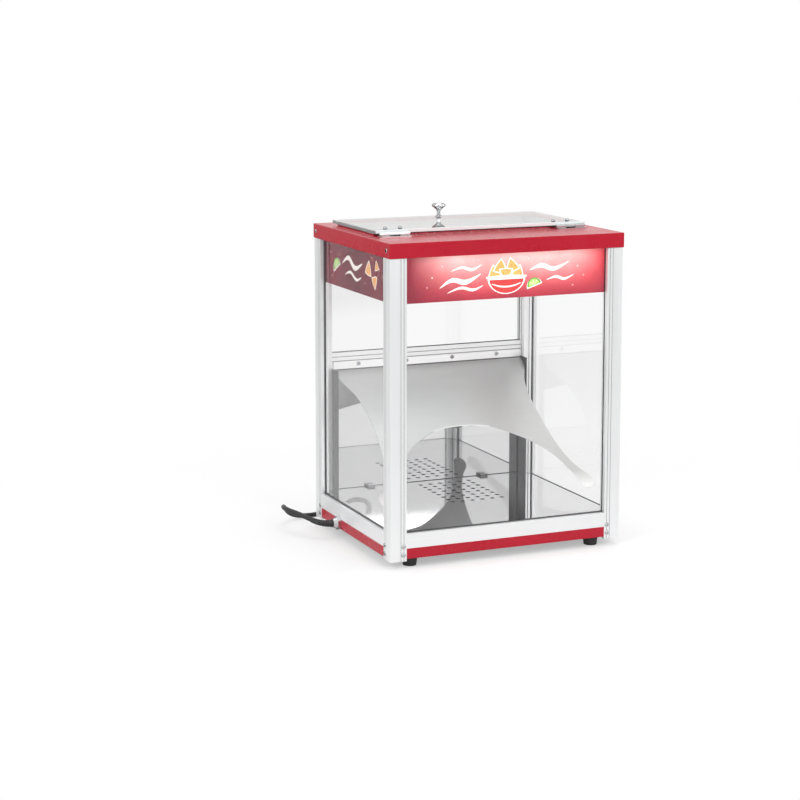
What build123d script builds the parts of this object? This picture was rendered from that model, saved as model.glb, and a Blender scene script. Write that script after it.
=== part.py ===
from build123d import *
import math
import os

os.makedirs("parts", exist_ok=True)

# Countertop chip warmer: four slotted aluminium posts and rails hold glass panes round a
# mirror-polished floor. A red cover with a hinged glass lid closes the top, a chip deflector
# hangs from the rear crossbar, and a polished rear door under the crossbar opens outwards.
# Millimetres. +Z up, X width, front towards -Y, origin at the bottom centre.

# ---------------------------------------------------------------- driving dimensions
total_width = 385.0
total_depth = 310.0
total_height = 510.0

# heights
foot_height = 14.5
post_drop = 3.5             # posts reach this far below the pan
pan_height = 15.5
rail_height = 22.0
cover_height = 22.0
lid_gap = 3.5               # cover's top to the lid glass
lid_glass_thick = 4.5
knob_height = 21.0
crossbar_bottom = 251.0
crossbar_height = 24.0

# sheet and section sizes
cover_sheet = 1.2
pan_sheet = 1.2
plate_sheet = 1.0
post_leg = 26.0             # width of each leg of the L-shaped post
post_thick = 15.0           # thickness of each leg
post_wall = 2.0
rear_rail_thick = 12.0
glass_thick = 4.0
sheet_gap = 0.4             # left round sheets that slip in between the posts
floor_edge_gap = 1.2        # floor plate to the panes
slot_width = 4.6
glass_inset = 9.0           # glass centre plane behind the frame's outer face
post_slot_depth = 8.0
glass_bite = 7.0            # how far a pane enters a post slot
rail_slot_depth = 6.0
tongue_thick = 4.4
tongue_reach = 7.8
groove_width = 0.6          # decorative grooves down the posts' faces
groove_depth = 0.5
bar_groove = 1.2            # grooves along the crossbar's inner face

# fasteners
screw_radius = 1.5
screw_head_radius = 3.2
frame_head = 1.2
cover_head = 1.3
recess_arm = 1.9            # crossed recess in a screw head
recess_width = 0.8

# lid
lid_side_margin = 18.5      # cabinet's side to the glass edge
lid_front_margin = 93.8     # frame's outer face to the glass edge
lid_rear_margin = 36.8
knob_from_rear = 15.5
collar_inset = 6.8          # collar's outer face inside the glass edge, at the sides
collar_inset_front = 24.0
collar_inset_rear = 6.0
collar_rise = 2.4
lid_hinge_width = 48.0
lid_hinge_edge = 4.0        # hinge's outer end inside the glass's side edge
lid_nut_spread = 12.0       # nuts each side of 6 mm inside the hinge's middle
lid_nut_inset = 16.0
lid_knuckle = 2.4
lid_pin = 1.25
strip_sheet = 1.0

# sign panels
sign_drop = 68.0            # hangs this far below the cover's lower edge
sign_thick = 2.0
sign_gap = 0.2              # pane to panel

# floor perforations
hole_radius = 3.7
hole_columns = 6
hole_rows = 8
hole_pitch_x = 17.0
hole_pitch_y = 17.7
hole_field_x = 20.0         # centre of the field
hole_field_inset = 80.8     # centre of the field to the posts' inner faces at the rear

# deflector
deflector_sheet = 1.0
deflector_flange_rise = 10.0    # on the crossbar, above and below its lower edge
deflector_flange_drop = 2.0
deflector_tip_inset = 43.8      # tips to the front pane's middle
deflector_tip_lift = 27.5       # tips above the floor
deflector_crown = 5.9           # crown of the slope over its chord
leg_tip_inset = 14.5            # tips' centres to the side panes' middle
leg_tip_radius = 11.0

# rear door
door_thick = 1.5
door_side_gap = 1.2
door_rail_gap = 0.4         # the door covers the floor plate's rear edge
door_top_drop = 7.5         # under the crossbar
door_axis_drop = 3.6
door_setback = 6.2          # door's inner face behind the posts' inner faces
door_axis_setback = 11.5
hinge_end_gap = 6.5
jamb_sheet = 1.2
knuckle_radius = 3.0
pin_radius = 1.5
pin_clearance = 0.05

# supply cord
cord_radius = 3.8
gland_from_rear = 103.0
gland_lift = 9.1            # above the pan's bottom
coil_radius = 48.0          # outermost turn
coil_from_side = 210.0      # coil's middle to the frame's left face
coil_from_rear = 115.0
coil_pitch = 8.2            # turn to turn, and layer to layer
tie_thick = 1.0
tie_half = 3.0
cord_gap = 0.1              # left between the cord and the pieces that close on it

# ---------------------------------------------------------------- worked-out levels
frame_x = total_width / 2 - cover_head - cover_sheet       # outer face of the posts, in X
frame_y = total_depth / 2 - cover_sheet                    # outer face of the posts, in Y
post_bottom = foot_height - post_drop
pan_bottom = foot_height
pan_top = pan_bottom + pan_height
rail_top = pan_top + rail_height
lid_glass_top = total_height - knob_height
lid_glass_bottom = lid_glass_top - lid_glass_thick
cover_top = lid_glass_bottom - lid_gap
cover_under = cover_top - cover_sheet
cover_bottom = cover_top - cover_height
floor_top = rail_top + plate_sheet
crossbar_top = crossbar_bottom + crossbar_height
upper_rail_bottom = cover_bottom + 2.0
leg_end_x = frame_x - post_leg
leg_end_y = frame_y - post_leg
inner_x = frame_x - post_thick
inner_y = frame_y - post_thick
glass_x = frame_x - glass_inset
glass_y = frame_y - glass_inset
glass_bottom = rail_top - rail_slot_depth
glass_top = upper_rail_bottom + 11.0
sign_bottom = cover_bottom - sign_drop
hole_field_y = inner_y - hole_field_inset
screw_from_end = 5.0
rail_screw_z = pan_top + 3.0
pan_screw_z = pan_bottom + 6.0


def block(x0, x1, y0, y1, z0, z1):
    middle = Pos((x0 + x1) / 2, (y0 + y1) / 2, (z0 + z1) / 2)
    return middle * Box(abs(x1 - x0), abs(y1 - y0), abs(z1 - z0))


def rod_x(x0, x1, y, z, radius):
    return Pos((x0 + x1) / 2, y, z) * Rot(0, 90, 0) * Cylinder(radius, abs(x1 - x0))


def rod_y(x, y0, y1, z, radius):
    return Pos(x, (y0 + y1) / 2, z) * Rot(90, 0, 0) * Cylinder(radius, abs(y1 - y0))


def rod_z(x, y, z0, z1, radius):
    return Pos(x, y, (z0 + z1) / 2) * Cylinder(radius, abs(z1 - z0))


def cone_x(x0, x1, y, z, radius0, radius1):
    cone = Cone(radius0, radius1, abs(x1 - x0))
    turn = Rot(0, 90, 0) if x1 > x0 else Rot(0, -90, 0)
    return Pos((x0 + x1) / 2, y, z) * turn * cone


def flip_x(shape):
    return mirror(shape, about=Plane.YZ)


def flip_y(shape):
    return mirror(shape, about=Plane.XZ)


def save(shape, name):
    export_step(shape, f"parts/{name}.step")


def group(shapes):
    return Compound(children=list(shapes))


# ---------------------------------------------------------------- frame
def corner_screw_places():
    """Axis direction and place of each frame screw at the front left corner."""
    along = -frame_x + post_leg - screw_from_end
    across = -frame_y + post_leg - screw_from_end
    return [("y", along, z) for z in (rail_screw_z, pan_screw_z)] + [
        ("x", across, z) for z in (rail_screw_z, pan_screw_z)]


def corner_screw_shank(axis, place, z, radius):
    reach = glass_inset + tongue_thick / 2
    if axis == "y":
        return rod_y(place, -frame_y, -frame_y + reach, z, radius)
    return rod_x(-frame_x, -frame_x + reach, place, z, radius)


def post():
    """L-shaped slotted extrusion at the front left corner."""
    x0, y0 = -frame_x, -frame_y
    body = block(x0, x0 + post_leg, y0, y0 + post_thick, post_bottom, cover_under)
    body += block(x0, x0 + post_thick, y0, y0 + post_leg, post_bottom, cover_under)
    corner = body.edges().filter_by(Axis.Z).sort_by_distance((x0, y0, total_height / 2))[0]
    body = fillet(corner, 1.5)
    body -= block(x0 + post_wall, x0 + post_thick - post_wall,
                  y0 + post_wall, y0 + post_thick - post_wall, post_bottom, cover_under)
    half_slot = slot_width / 2
    body -= block(x0 + post_leg - post_slot_depth, x0 + post_leg,
                  -glass_y - half_slot, -glass_y + half_slot, post_bottom, cover_under)
    body -= block(-glass_x - half_slot, -glass_x + half_slot,
                  y0 + post_leg - post_slot_depth, y0 + post_leg, post_bottom, cover_under)
    for along in (post_leg - 4.4, post_leg - 9.2):
        low, high = along - groove_width / 2, along + groove_width / 2
        body -= block(x0 + low, x0 + high, y0, y0 + groove_depth, post_bottom, cover_under)
        body -= block(x0, x0 + groove_depth, y0 + low, y0 + high, post_bottom, cover_under)
    for axis, place, z in corner_screw_places():
        body -= corner_screw_shank(axis, place, z, screw_radius)
    body -= cover_screw_shank()
    return body


def tongue_along_x(end, z0, z1):
    """Tongue on a rail or pan end that slides into a front post's slot, towards -X."""
    half = tongue_thick / 2
    return block(-leg_end_x - tongue_reach, -leg_end_x + end,
                 -glass_y - half, -glass_y + half, z0, z1)


def tongue_along_y(end, z0, z1):
    half = tongue_thick / 2
    return block(-glass_x - half, -glass_x + half,
                 -leg_end_y - tongue_reach, -leg_end_y + end, z0, z1)


def drilled(body):
    """Frame screw holes through the four corners of a rail or the pan."""
    for axis, place, z in corner_screw_places():
        shank = corner_screw_shank(axis, place, z, screw_radius)
        for hole in (shank, flip_x(shank), flip_y(shank), flip_x(flip_y(shank))):
            body -= hole
    return body


def rail_front():
    body = block(-leg_end_x, leg_end_x, -frame_y, -frame_y + post_thick, pan_top, rail_top)
    body -= block(-leg_end_x, leg_end_x, -frame_y + post_wall, -frame_y + post_thick - post_wall,
                  pan_top + post_wall, glass_bottom - 4)
    body -= block(-leg_end_x, leg_end_x, -glass_y - slot_width / 2, -glass_y + slot_width / 2,
                  glass_bottom, rail_top)
    tongue = tongue_along_x(8, pan_top + 0.5, glass_bottom - 1)
    return drilled(body + tongue + flip_x(tongue))


def rail_left():
    body = block(-frame_x, -frame_x + post_thick, -leg_end_y, leg_end_y, pan_top, rail_top)
    body -= block(-frame_x + post_wall, -frame_x + post_thick - post_wall, -leg_end_y, leg_end_y,
                  pan_top + post_wall, glass_bottom - 4)
    body -= block(-glass_x - slot_width / 2, -glass_x + slot_width / 2, -leg_end_y, leg_end_y,
                  glass_bottom, rail_top)
    tongue = tongue_along_y(8, pan_top + 0.5, glass_bottom - 1)
    return drilled(body + tongue + flip_y(tongue))


switch_x = (leg_end_x - 72.0, leg_end_x - 42.0)
switch_z = (pan_top + rail_top) / 2
switch_hole_width = 19.0
switch_hole_height = 13.0
rear_rail_outer = inner_y + rear_rail_thick
switch_back = rear_rail_outer - 16.0
bezel_sheet = 1.2
well_half_x = 8.6
well_half_z = 5.2
blade_half = 0.4
blade_y = switch_back - 3.8     # where the lead is joined to a blade
rocker_pivot_y = rear_rail_outer - 3.0
rocker_pin = 0.8
rocker_tilt = 7.0


def rail_rear():
    body = block(-leg_end_x, leg_end_x, inner_y, rear_rail_outer, pan_top, rail_top)
    body -= block(-leg_end_x, leg_end_x, inner_y + post_wall, rear_rail_outer - post_wall,
                  pan_top + post_wall, rail_top - post_wall)
    tongue = flip_y(tongue_along_x(8, pan_top + 0.5, glass_bottom - 1))
    body += tongue + flip_x(tongue)
    half_x, half_z = switch_hole_width / 2, switch_hole_height / 2
    for x in switch_x:
        body -= block(x - half_x, x + half_x, inner_y - 1, rear_rail_outer + 1,
                      switch_z - half_z, switch_z + half_z)
    return drilled(body)


def upper_rail_front():
    body = block(-leg_end_x, leg_end_x, -frame_y, -frame_y + post_thick, upper_rail_bottom, cover_under)
    body -= block(-leg_end_x, leg_end_x, -glass_y - slot_width / 2, -glass_y + slot_width / 2,
                  upper_rail_bottom, glass_top + 1)
    return body


def upper_rail_left():
    body = block(-frame_x, -frame_x + post_thick, -leg_end_y, leg_end_y, upper_rail_bottom, cover_under)
    body -= block(-glass_x - slot_width / 2, -glass_x + slot_width / 2, -leg_end_y, leg_end_y,
                  upper_rail_bottom, glass_top + 1)
    return body


def crossbar():
    """Hollow bar between the rear posts, slotted on top for the rear pane."""
    slot_bottom = crossbar_top - rail_slot_depth
    body = block(-leg_end_x, leg_end_x, inner_y, frame_y, crossbar_bottom, crossbar_top)
    body -= block(-leg_end_x, leg_end_x, inner_y + post_wall, frame_y - post_wall,
                  crossbar_bottom + post_wall, slot_bottom - 4)
    body -= block(-leg_end_x, leg_end_x, glass_y - slot_width / 2, glass_y + slot_width / 2,
                  slot_bottom, crossbar_top)
    for top in (slot_bottom, deflector_top + bar_groove):
        body -= block(-leg_end_x, leg_end_x, inner_y, inner_y + bar_groove,
                      top - bar_groove, top)
    for x in deflector_screw_x:
        body -= rod_y(x, inner_y, inner_y + post_wall, deflector_screw_z, screw_radius)
    return body


vent_count = 6
vent_pitch = 30.0
vent_width = 4.0
vent_length = 44.0
vent_y = 75.0


def base_pan():
    """Folded tray that fills the plan between the posts, closed at the bottom."""
    def filled(cut, z0):
        wide, middle, narrow = frame_x - cut, inner_x - cut, leg_end_x - cut
        shape = block(-wide, wide, -leg_end_y + cut, leg_end_y - cut, z0, pan_top)
        shape += block(-middle, middle, -inner_y + cut, inner_y - cut, z0, pan_top)
        shape += block(-narrow, narrow, -frame_y + cut, rear_rail_outer - cut, z0, pan_top)
        return shape

    body = filled(0, pan_bottom) - filled(pan_sheet, pan_bottom + pan_sheet)
    tab_x = tongue_along_x(pan_sheet / 2, pan_bottom + 0.5, pan_top - 2)
    tab_y = tongue_along_y(pan_sheet / 2, pan_bottom + 0.5, pan_top - 2)
    for tab in (tab_x, tab_y):
        body += tab
        body += flip_x(tab)
        body += flip_y(tab)
        body += flip_x(flip_y(tab))
    for row in range(vent_count):
        x = (row - (vent_count - 1) / 2) * vent_pitch
        for y in (-vent_y, vent_y):
            body -= block(x - vent_width / 2, x + vent_width / 2, y - vent_length / 2,
                          y + vent_length / 2, pan_bottom, pan_bottom + pan_sheet)
    for x, y in foot_places():
        body -= rod_z(x, y, pan_bottom, pan_bottom + pan_sheet, foot_screw_radius)
    body -= rod_x(-frame_x, -frame_x + pan_sheet, gland_y, gland_z, gland_shank)
    return drilled(body)


# ---------------------------------------------------------------- feet and screws
foot_x = leg_end_x - 13.0
foot_y = inner_y - 4.8
foot_bottom_radius = 10.0
foot_top_radius = 12.0
recess_radius = 5.0
recess_depth = 8.0
foot_screw_radius = 2.0
foot_screw_head = 4.4
foot_screw_head_height = 3.0
foot_nut_radius = 4.0
foot_nut_height = 3.2


def foot_places():
    return [(sx * foot_x, sy * foot_y) for sx in (-1, 1) for sy in (-1, 1)]


def rubber_feet():
    feet = []
    for x, y in foot_places():
        foot = Pos(x, y, foot_height / 2) * Cone(foot_bottom_radius, foot_top_radius, foot_height)
        foot -= rod_z(x, y, 0, recess_depth, recess_radius)
        foot -= rod_z(x, y, recess_depth, foot_height, foot_screw_radius)
        feet.append(foot)
    return group(feet)


def foot_screws():
    """Screw with a washer head in each foot's recess and a nut inside the pan."""
    screws = []
    for x, y in foot_places():
        pan_inside = pan_bottom + pan_sheet
        screw = rod_z(x, y, recess_depth, pan_inside + foot_nut_height + 1.8, foot_screw_radius)
        screw += rod_z(x, y, recess_depth - foot_screw_head_height, recess_depth, foot_screw_head)
        nut = Pos(x, y, pan_inside) * extrude(RegularPolygon(foot_nut_radius, 6), foot_nut_height)
        screws.append(screw + nut)
    return group(screws)


def pan_head_along_y(x, y, z, height):
    """Low screw head on a face that looks towards -Y, with a crossed recess."""
    head = rod_y(x, y - height, y, z, screw_head_radius)
    rim = head.edges().filter_by(GeomType.CIRCLE).sort_by(Axis.Y)[0]
    head = fillet(rim, height * 0.5)
    deep = y - height * 0.4
    arm, half = recess_arm, recess_width / 2
    head -= block(x - arm, x + arm, y - height, deep, z - half, z + half)
    head -= block(x - half, x + half, y - height, deep, z - arm, z + arm)
    return head


def pan_head_along_x(x, y, z, height):
    return Pos(x, y, z) * Rot(0, 0, -90) * pan_head_along_y(0, 0, 0, height)


def frame_screws():
    screws = []
    for axis, place, z in corner_screw_places():
        shank = corner_screw_shank(axis, place, z, screw_radius)
        if axis == "y":
            screw = shank + pan_head_along_y(place, -frame_y, z, frame_head)
        else:
            screw = shank + pan_head_along_x(-frame_x, place, z, frame_head)
        screws += [screw, flip_x(screw), flip_y(screw), flip_x(flip_y(screw))]
    return group(screws)


cover_screw_y = total_depth / 2 - 12.0
cover_screw_z = cover_bottom + cover_height / 2
cover_screw_reach = 6.0


def cover_screw_shank():
    return rod_x(-frame_x - cover_sheet, -frame_x + cover_screw_reach,
                 -cover_screw_y, cover_screw_z, screw_radius)


def cover_screws():
    head = pan_head_along_x(-frame_x - cover_sheet, -cover_screw_y, cover_screw_z, cover_head)
    screw = cover_screw_shank() + head
    return group([screw, flip_x(screw), flip_y(screw), flip_x(flip_y(screw))])


# ---------------------------------------------------------------- glass and signs
def glass_front():
    half = leg_end_x + glass_bite
    return block(-half, half, -glass_y - glass_thick / 2, -glass_y + glass_thick / 2,
                 glass_bottom, glass_top)


def glass_left():
    half = leg_end_y + glass_bite
    return block(-glass_x - glass_thick / 2, -glass_x + glass_thick / 2, -half, half,
                 glass_bottom, glass_top)


def glass_rear():
    half = leg_end_x + glass_bite
    return block(-half, half, glass_y - glass_thick / 2, glass_y + glass_thick / 2,
                 crossbar_top - rail_slot_depth, glass_top)


def sign_front():
    inside = -glass_y + glass_thick / 2 + sign_gap
    half = leg_end_x - sheet_gap
    return block(-half, half, inside, inside + sign_thick, sign_bottom, upper_rail_bottom)


def sign_left():
    inside = -glass_x + glass_thick / 2 + sign_gap
    half = leg_end_y - sheet_gap
    return block(inside, inside + sign_thick, -half, half, sign_bottom, upper_rail_bottom)


# ---------------------------------------------------------------- inside
duct_side = 9.4
duct_x = inner_x - duct_side / 2
duct_y = inner_y - duct_side / 2
lamp_cable_radius = 2.25


def floor_plate():
    half_x = glass_x - glass_thick / 2 - floor_edge_gap
    half_y = glass_y - glass_thick / 2 - floor_edge_gap
    notch = sheet_gap / 2
    z0, z1 = rail_top, floor_top
    body = block(-half_x, half_x, -leg_end_y + notch, leg_end_y - notch, z0, z1)
    body += block(-inner_x + notch, inner_x - notch, -inner_y + notch, inner_y - notch, z0, z1)
    body += block(-leg_end_x + notch, leg_end_x - notch, -half_y, half_y, z0, z1)
    first_x = hole_field_x - hole_pitch_x * (hole_columns - 1) / 2
    first_y = hole_field_y - hole_pitch_y * (hole_rows - 1) / 2
    holes = []
    for column in range(hole_columns):
        for row in range(hole_rows):
            x = first_x + column * hole_pitch_x
            y = first_y + row * hole_pitch_y
            holes.append(rod_z(x, y, z0 - 1, z1 + 1, hole_radius))
    body -= holes
    body -= rod_z(duct_x, duct_y, z0 - 1, z1 + 1, lamp_cable_radius + 0.5)
    return body


deflector_screw_x = tuple(share * leg_end_x for share in (-0.73, -0.245, 0.245, 0.73))
deflector_top = crossbar_bottom + deflector_flange_rise
deflector_crease = crossbar_bottom - deflector_flange_drop
deflector_screw_z = (crossbar_bottom + deflector_top) / 2
deflector_half_top = leg_end_x - jamb_sheet - sheet_gap
deflector_face = inner_y
crease_y = deflector_face - deflector_sheet
sheet_tip_y = -glass_y + deflector_tip_inset
sheet_tip_z = floor_top + deflector_tip_lift
middle_share = 0.463        # where the crown is measured, from the tip to the crease
sheet_middle_y = sheet_tip_y + middle_share * (crease_y - sheet_tip_y)
sheet_middle_z = sheet_tip_z + middle_share * (deflector_crease - sheet_tip_z) + deflector_crown
leg_tip_x = glass_x - leg_tip_inset


def deflector_profile():
    """Bent sheet seen from the side, swept across the cabinet."""
    outer = Line((crease_y, deflector_top), (crease_y, deflector_crease))
    slope = ThreePointArc((crease_y, deflector_crease), (sheet_middle_y, sheet_middle_z),
                          (sheet_tip_y, sheet_tip_z))
    end = Line((sheet_tip_y, sheet_tip_z), (sheet_tip_y, sheet_tip_z - deflector_sheet))
    under = ThreePointArc((sheet_tip_y, sheet_tip_z - deflector_sheet),
                          (sheet_middle_y, sheet_middle_z - deflector_sheet * 1.2),
                          (deflector_face, deflector_crease - deflector_sheet * 0.4))
    back = Line(under @ 1, (deflector_face, deflector_top))
    close = Line((deflector_face, deflector_top), (crease_y, deflector_top))
    face = make_face(Plane.YZ * Wire([outer, slope, end, under, back, close]))
    return extrude(face, leg_tip_x + leg_tip_radius + 2, both=True)


def deflector_plan():
    """Outline from above: drawn-in sides, two legs with round tips and an arch between them."""
    def up(share):
        """Y at a share of the way from the tips to the crossbar."""
        return sheet_tip_y + share * (deflector_face - sheet_tip_y)

    tip_y = sheet_tip_y + leg_tip_radius
    tip_outside = (leg_tip_x + 7.5, tip_y + 9.0)
    tip_end = (leg_tip_x + 6.0, tip_y - 9.2)
    tip_inside = (leg_tip_x - 9.0, tip_y - 6.0)
    shoulder = (deflector_half_top, up(0.955))
    waist = leg_end_x - 23.6
    hip = leg_end_x - 15.0
    knee = leg_end_x - 19.0
    peak = (0.0, up(0.489))
    side = Spline(shoulder, (hip, up(0.81)), (waist, up(0.55)), (knee, up(0.32)), tip_outside,
                  tangents=((-0.1, -1.0), (1.0, -0.9)))
    tip = ThreePointArc(tip_outside, tip_end, tip_inside)
    arch = Spline(tip_inside, (leg_tip_x * 0.825, up(0.2)), (leg_tip_x * 0.645, up(0.333)),
                  (leg_tip_x * 0.4, up(0.433)), peak, tangents=((-0.35, 1.0), (-1.0, 0.0)))
    top = Line((0.0, deflector_face), (deflector_half_top, deflector_face))
    edge = Line((deflector_half_top, deflector_face), shoulder)
    middle = Line(peak, (0.0, deflector_face))
    half = make_face(Wire([top, edge, side, tip, arch, middle]))
    return half + mirror(half, about=Plane.YZ)


def deflector():
    margin = 20.0
    prism = extrude(deflector_plan(), deflector_top - sheet_tip_z + 2 * margin)
    body = deflector_profile() & Pos(0, 0, sheet_tip_z - margin) * prism
    for x in deflector_screw_x:
        body -= rod_y(x, crease_y, deflector_face, deflector_screw_z, screw_radius)
    return body


def deflector_screws():
    screws = []
    for x in deflector_screw_x:
        shank = rod_y(x, crease_y, deflector_face + post_wall, deflector_screw_z, screw_radius)
        screws.append(shank + pan_head_along_y(x, crease_y, deflector_screw_z, frame_head))
    return group(screws)


jamb_reach = 24.0
jamb_rear = frame_y - 2.0
jamb_top = crossbar_bottom - 1.2
door_inside_y = inner_y + door_setback
door_outside_y = door_inside_y + door_thick
door_bottom = rail_top + door_rail_gap
door_top = crossbar_bottom - door_top_drop
door_half_width = leg_end_x - jamb_sheet - door_side_gap
door_axis_y = inner_y + door_axis_setback
door_axis_z = crossbar_bottom - door_axis_drop


def door_jambs():
    """Flat side guides on the rear posts, from the floor to the crossbar."""
    jamb = block(leg_end_x - jamb_sheet, leg_end_x, inner_y - jamb_reach, jamb_rear,
                 floor_top, jamb_top)
    return group([jamb, flip_x(jamb)])


magnet_inset = 66.0
magnet_length = 8.0
magnet_half = 6.0
magnet_height = 3.5
magnet_x = leg_end_x - magnet_inset


def door_magnets():
    """Two catches on the floor's rear edge, each a case with the magnet's face out of its rear."""
    magnets = []
    case_rear = door_inside_y - 1.5
    for x in (-magnet_x, magnet_x):
        body = block(x - magnet_half, x + magnet_half, case_rear - magnet_length, case_rear,
                     floor_top, floor_top + magnet_height)
        body += block(x - magnet_half + 2, x + magnet_half - 2, case_rear, door_inside_y - 0.3,
                      floor_top + 1.0, floor_top + magnet_height - 0.5)
        magnets.append(body)
    return group(magnets)


# ---------------------------------------------------------------- rear door
hinge_knuckles = 9
hinge_half = leg_end_x - hinge_end_gap
leaf_sheet = 1.2
knuckle_gap = 0.3


def door_knuckles(first):
    """X span of every second knuckle of the piano hinge, starting with knuckle number first."""
    step = 2 * hinge_half / hinge_knuckles
    rolls = []
    for index in range(first, hinge_knuckles, 2):
        x0 = -hinge_half + index * step + knuckle_gap / 2
        x1 = x0 + step - knuckle_gap
        rolls.append((x0, x1))
    return rolls


def door_hinge_fixed():
    body = block(-hinge_half, hinge_half, inner_y + 2.2, frame_y - 1.3,
                 crossbar_bottom - leaf_sheet, crossbar_bottom)
    for x0, x1 in door_knuckles(0):
        body += rod_x(x0, x1, door_axis_y, door_axis_z, knuckle_radius)
    for x0, x1 in door_knuckles(1):
        body -= block(x0 - knuckle_gap, x1 + knuckle_gap, door_axis_y - 4.4, frame_y,
                      crossbar_bottom - leaf_sheet, crossbar_bottom)
    body -= rod_x(-hinge_half, hinge_half, door_axis_y, door_axis_z, pin_radius)
    return body


def door_hinge_moving():
    leaf_y0, leaf_y1 = door_outside_y, door_outside_y + leaf_sheet
    leaf_top = door_axis_z - 3.2
    body = block(-hinge_half, hinge_half, leaf_y0, leaf_y1, door_top - 10, leaf_top)
    for x0, x1 in door_knuckles(1):
        body += block(x0, x1, leaf_y0, leaf_y1, leaf_top - 0.2, door_axis_z)
        body += rod_x(x0, x1, door_axis_y, door_axis_z, knuckle_radius)
    body -= rod_x(-hinge_half, hinge_half, door_axis_y, door_axis_z, pin_radius + pin_clearance)
    return body


def door_hinge_pin():
    return rod_x(-hinge_half, hinge_half, door_axis_y, door_axis_z, pin_radius)


lip_half = 60.0


def rear_door():
    """Polished plate with folded side edges and a finger lip along the bottom."""
    y0, y1 = door_inside_y, door_outside_y
    lip_y = y1 + 6.0
    body = block(-door_half_width, door_half_width, y0, y1, door_bottom, door_top)
    for side in (-1, 1):
        x = side * door_half_width
        body += block(x, x - side * door_thick, y0, y1 + 4.0, door_bottom, door_top - 12.0)
    body += block(-lip_half, lip_half, y0, lip_y, door_bottom, door_bottom + door_thick)
    body += block(-lip_half, lip_half, lip_y - 1.2, lip_y, door_bottom, door_bottom + 9.0)
    return body


# ---------------------------------------------------------------- cover and lid
lid_half = total_width / 2 - lid_side_margin
lid_front = -frame_y + lid_front_margin
lid_rear = frame_y - lid_rear_margin
lid_knob_y = lid_rear - knob_from_rear
collar_outer_x = lid_half - collar_inset
collar_front = lid_front + collar_inset_front
collar_outer_rear = lid_rear - collar_inset_rear
collar_sheet = 1.2
lid_hinge_x = lid_half - lid_hinge_edge - lid_hinge_width / 2
lid_nut_x = (lid_hinge_x - 6 - lid_nut_spread, lid_hinge_x - 6 + lid_nut_spread)
lid_nut_y = lid_front + lid_nut_inset
lid_axis_y = lid_front - strip_sheet - lid_knuckle - 2.1
lid_axis_z = lid_glass_bottom + 0.4


def top_cover():
    """Folded tray over the posts, with a flanged filling opening."""
    half_x = frame_x + cover_sheet
    half_y = total_depth / 2
    body = block(-half_x, half_x, -half_y, half_y, cover_bottom, cover_top)
    verticals = body.edges().filter_by(Axis.Z)
    body = fillet(verticals, 1.2)
    top_rim = body.edges().group_by(Axis.Z)[-1]
    body = fillet(top_rim, 0.8)
    body -= block(-frame_x, frame_x, -frame_y, frame_y, cover_bottom, cover_under)
    body += block(-collar_outer_x, collar_outer_x, collar_front, collar_outer_rear,
                  cover_under, cover_top + collar_rise)
    inner = collar_sheet
    body -= block(-collar_outer_x + inner, collar_outer_x - inner, collar_front + inner,
                  collar_outer_rear - inner, cover_under, cover_top + collar_rise)
    for hole in (cover_screw_shank(), flip_x(cover_screw_shank())):
        body -= hole
        body -= flip_y(hole)
    return body


def lid_seal():
    """Soft ring over the collar's edge that the glass rests on."""
    z0, z1 = cover_top + collar_rise, lid_glass_bottom - 0.1
    side = 1.2
    body = block(-collar_outer_x - side, collar_outer_x + side, collar_front - side,
                 collar_outer_rear + side, z0 - 1.0, z1)
    body -= block(-collar_outer_x, collar_outer_x, collar_front, collar_outer_rear, z0 - 1.0, z0)
    inner = collar_sheet
    body -= block(-collar_outer_x + inner, collar_outer_x - inner, collar_front + inner,
                  collar_outer_rear - inner, z0 - 1.0, z1)
    return body


lid_screw_radius = 2.0
knob_screw_reach = 6.0


def lid_screw_places():
    return [(sx * x, lid_nut_y) for sx in (-1, 1) for x in lid_nut_x]


def lid_glass():
    body = block(-lid_half, lid_half, lid_front, lid_rear, lid_glass_bottom, lid_glass_top)
    body = fillet(body.edges().filter_by(Axis.Z), 2.0)
    for x, y in lid_screw_places() + [(0.0, lid_knob_y)]:
        body -= rod_z(x, y, lid_glass_bottom, lid_glass_top, lid_screw_radius)
    return body


leaf_under = lid_glass_bottom - leaf_sheet


def lid_front_strip():
    """Bright angle strip along the glass's front edge."""
    body = block(-lid_half, lid_half, lid_front - strip_sheet, lid_front,
                 lid_glass_bottom - 0.5, lid_glass_top + strip_sheet)
    body += block(-lid_half, lid_half, lid_front - strip_sheet, lid_front + 4.0,
                  lid_glass_top, lid_glass_top + strip_sheet)
    return body


def lid_knuckle_spans():
    """Three knuckles on each hinge: fixed, moving, fixed."""
    step = lid_hinge_width / 3
    x0 = lid_hinge_x - lid_hinge_width / 2
    return [(x0 + index * step + 0.15, x0 + (index + 1) * step - 0.15) for index in range(3)]


def lid_hinge_moving():
    spans = lid_knuckle_spans()
    start, stop = lid_hinge_x - lid_hinge_width / 2, lid_hinge_x + lid_hinge_width / 2
    body = block(start, stop, lid_front, lid_nut_y + 6.0, leaf_under, lid_glass_bottom)
    x0, x1 = spans[1]
    body += block(x0, x1, lid_axis_y, lid_front, leaf_under, leaf_under + 1.2)
    body += rod_x(x0, x1, lid_axis_y, lid_axis_z, lid_knuckle)
    body -= block(start, stop, lid_front - strip_sheet, lid_front,
                  lid_glass_bottom - 0.5, lid_glass_bottom + 3)
    body -= rod_x(start, stop, lid_axis_y, lid_axis_z, lid_pin + pin_clearance)
    for x in lid_nut_x:
        body -= rod_z(x, lid_nut_y, leaf_under, lid_glass_bottom, lid_screw_radius)
    return group([body, flip_x(body)])


hinge_plate_front = 10.0
hinge_plate_rear = 8.0


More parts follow.
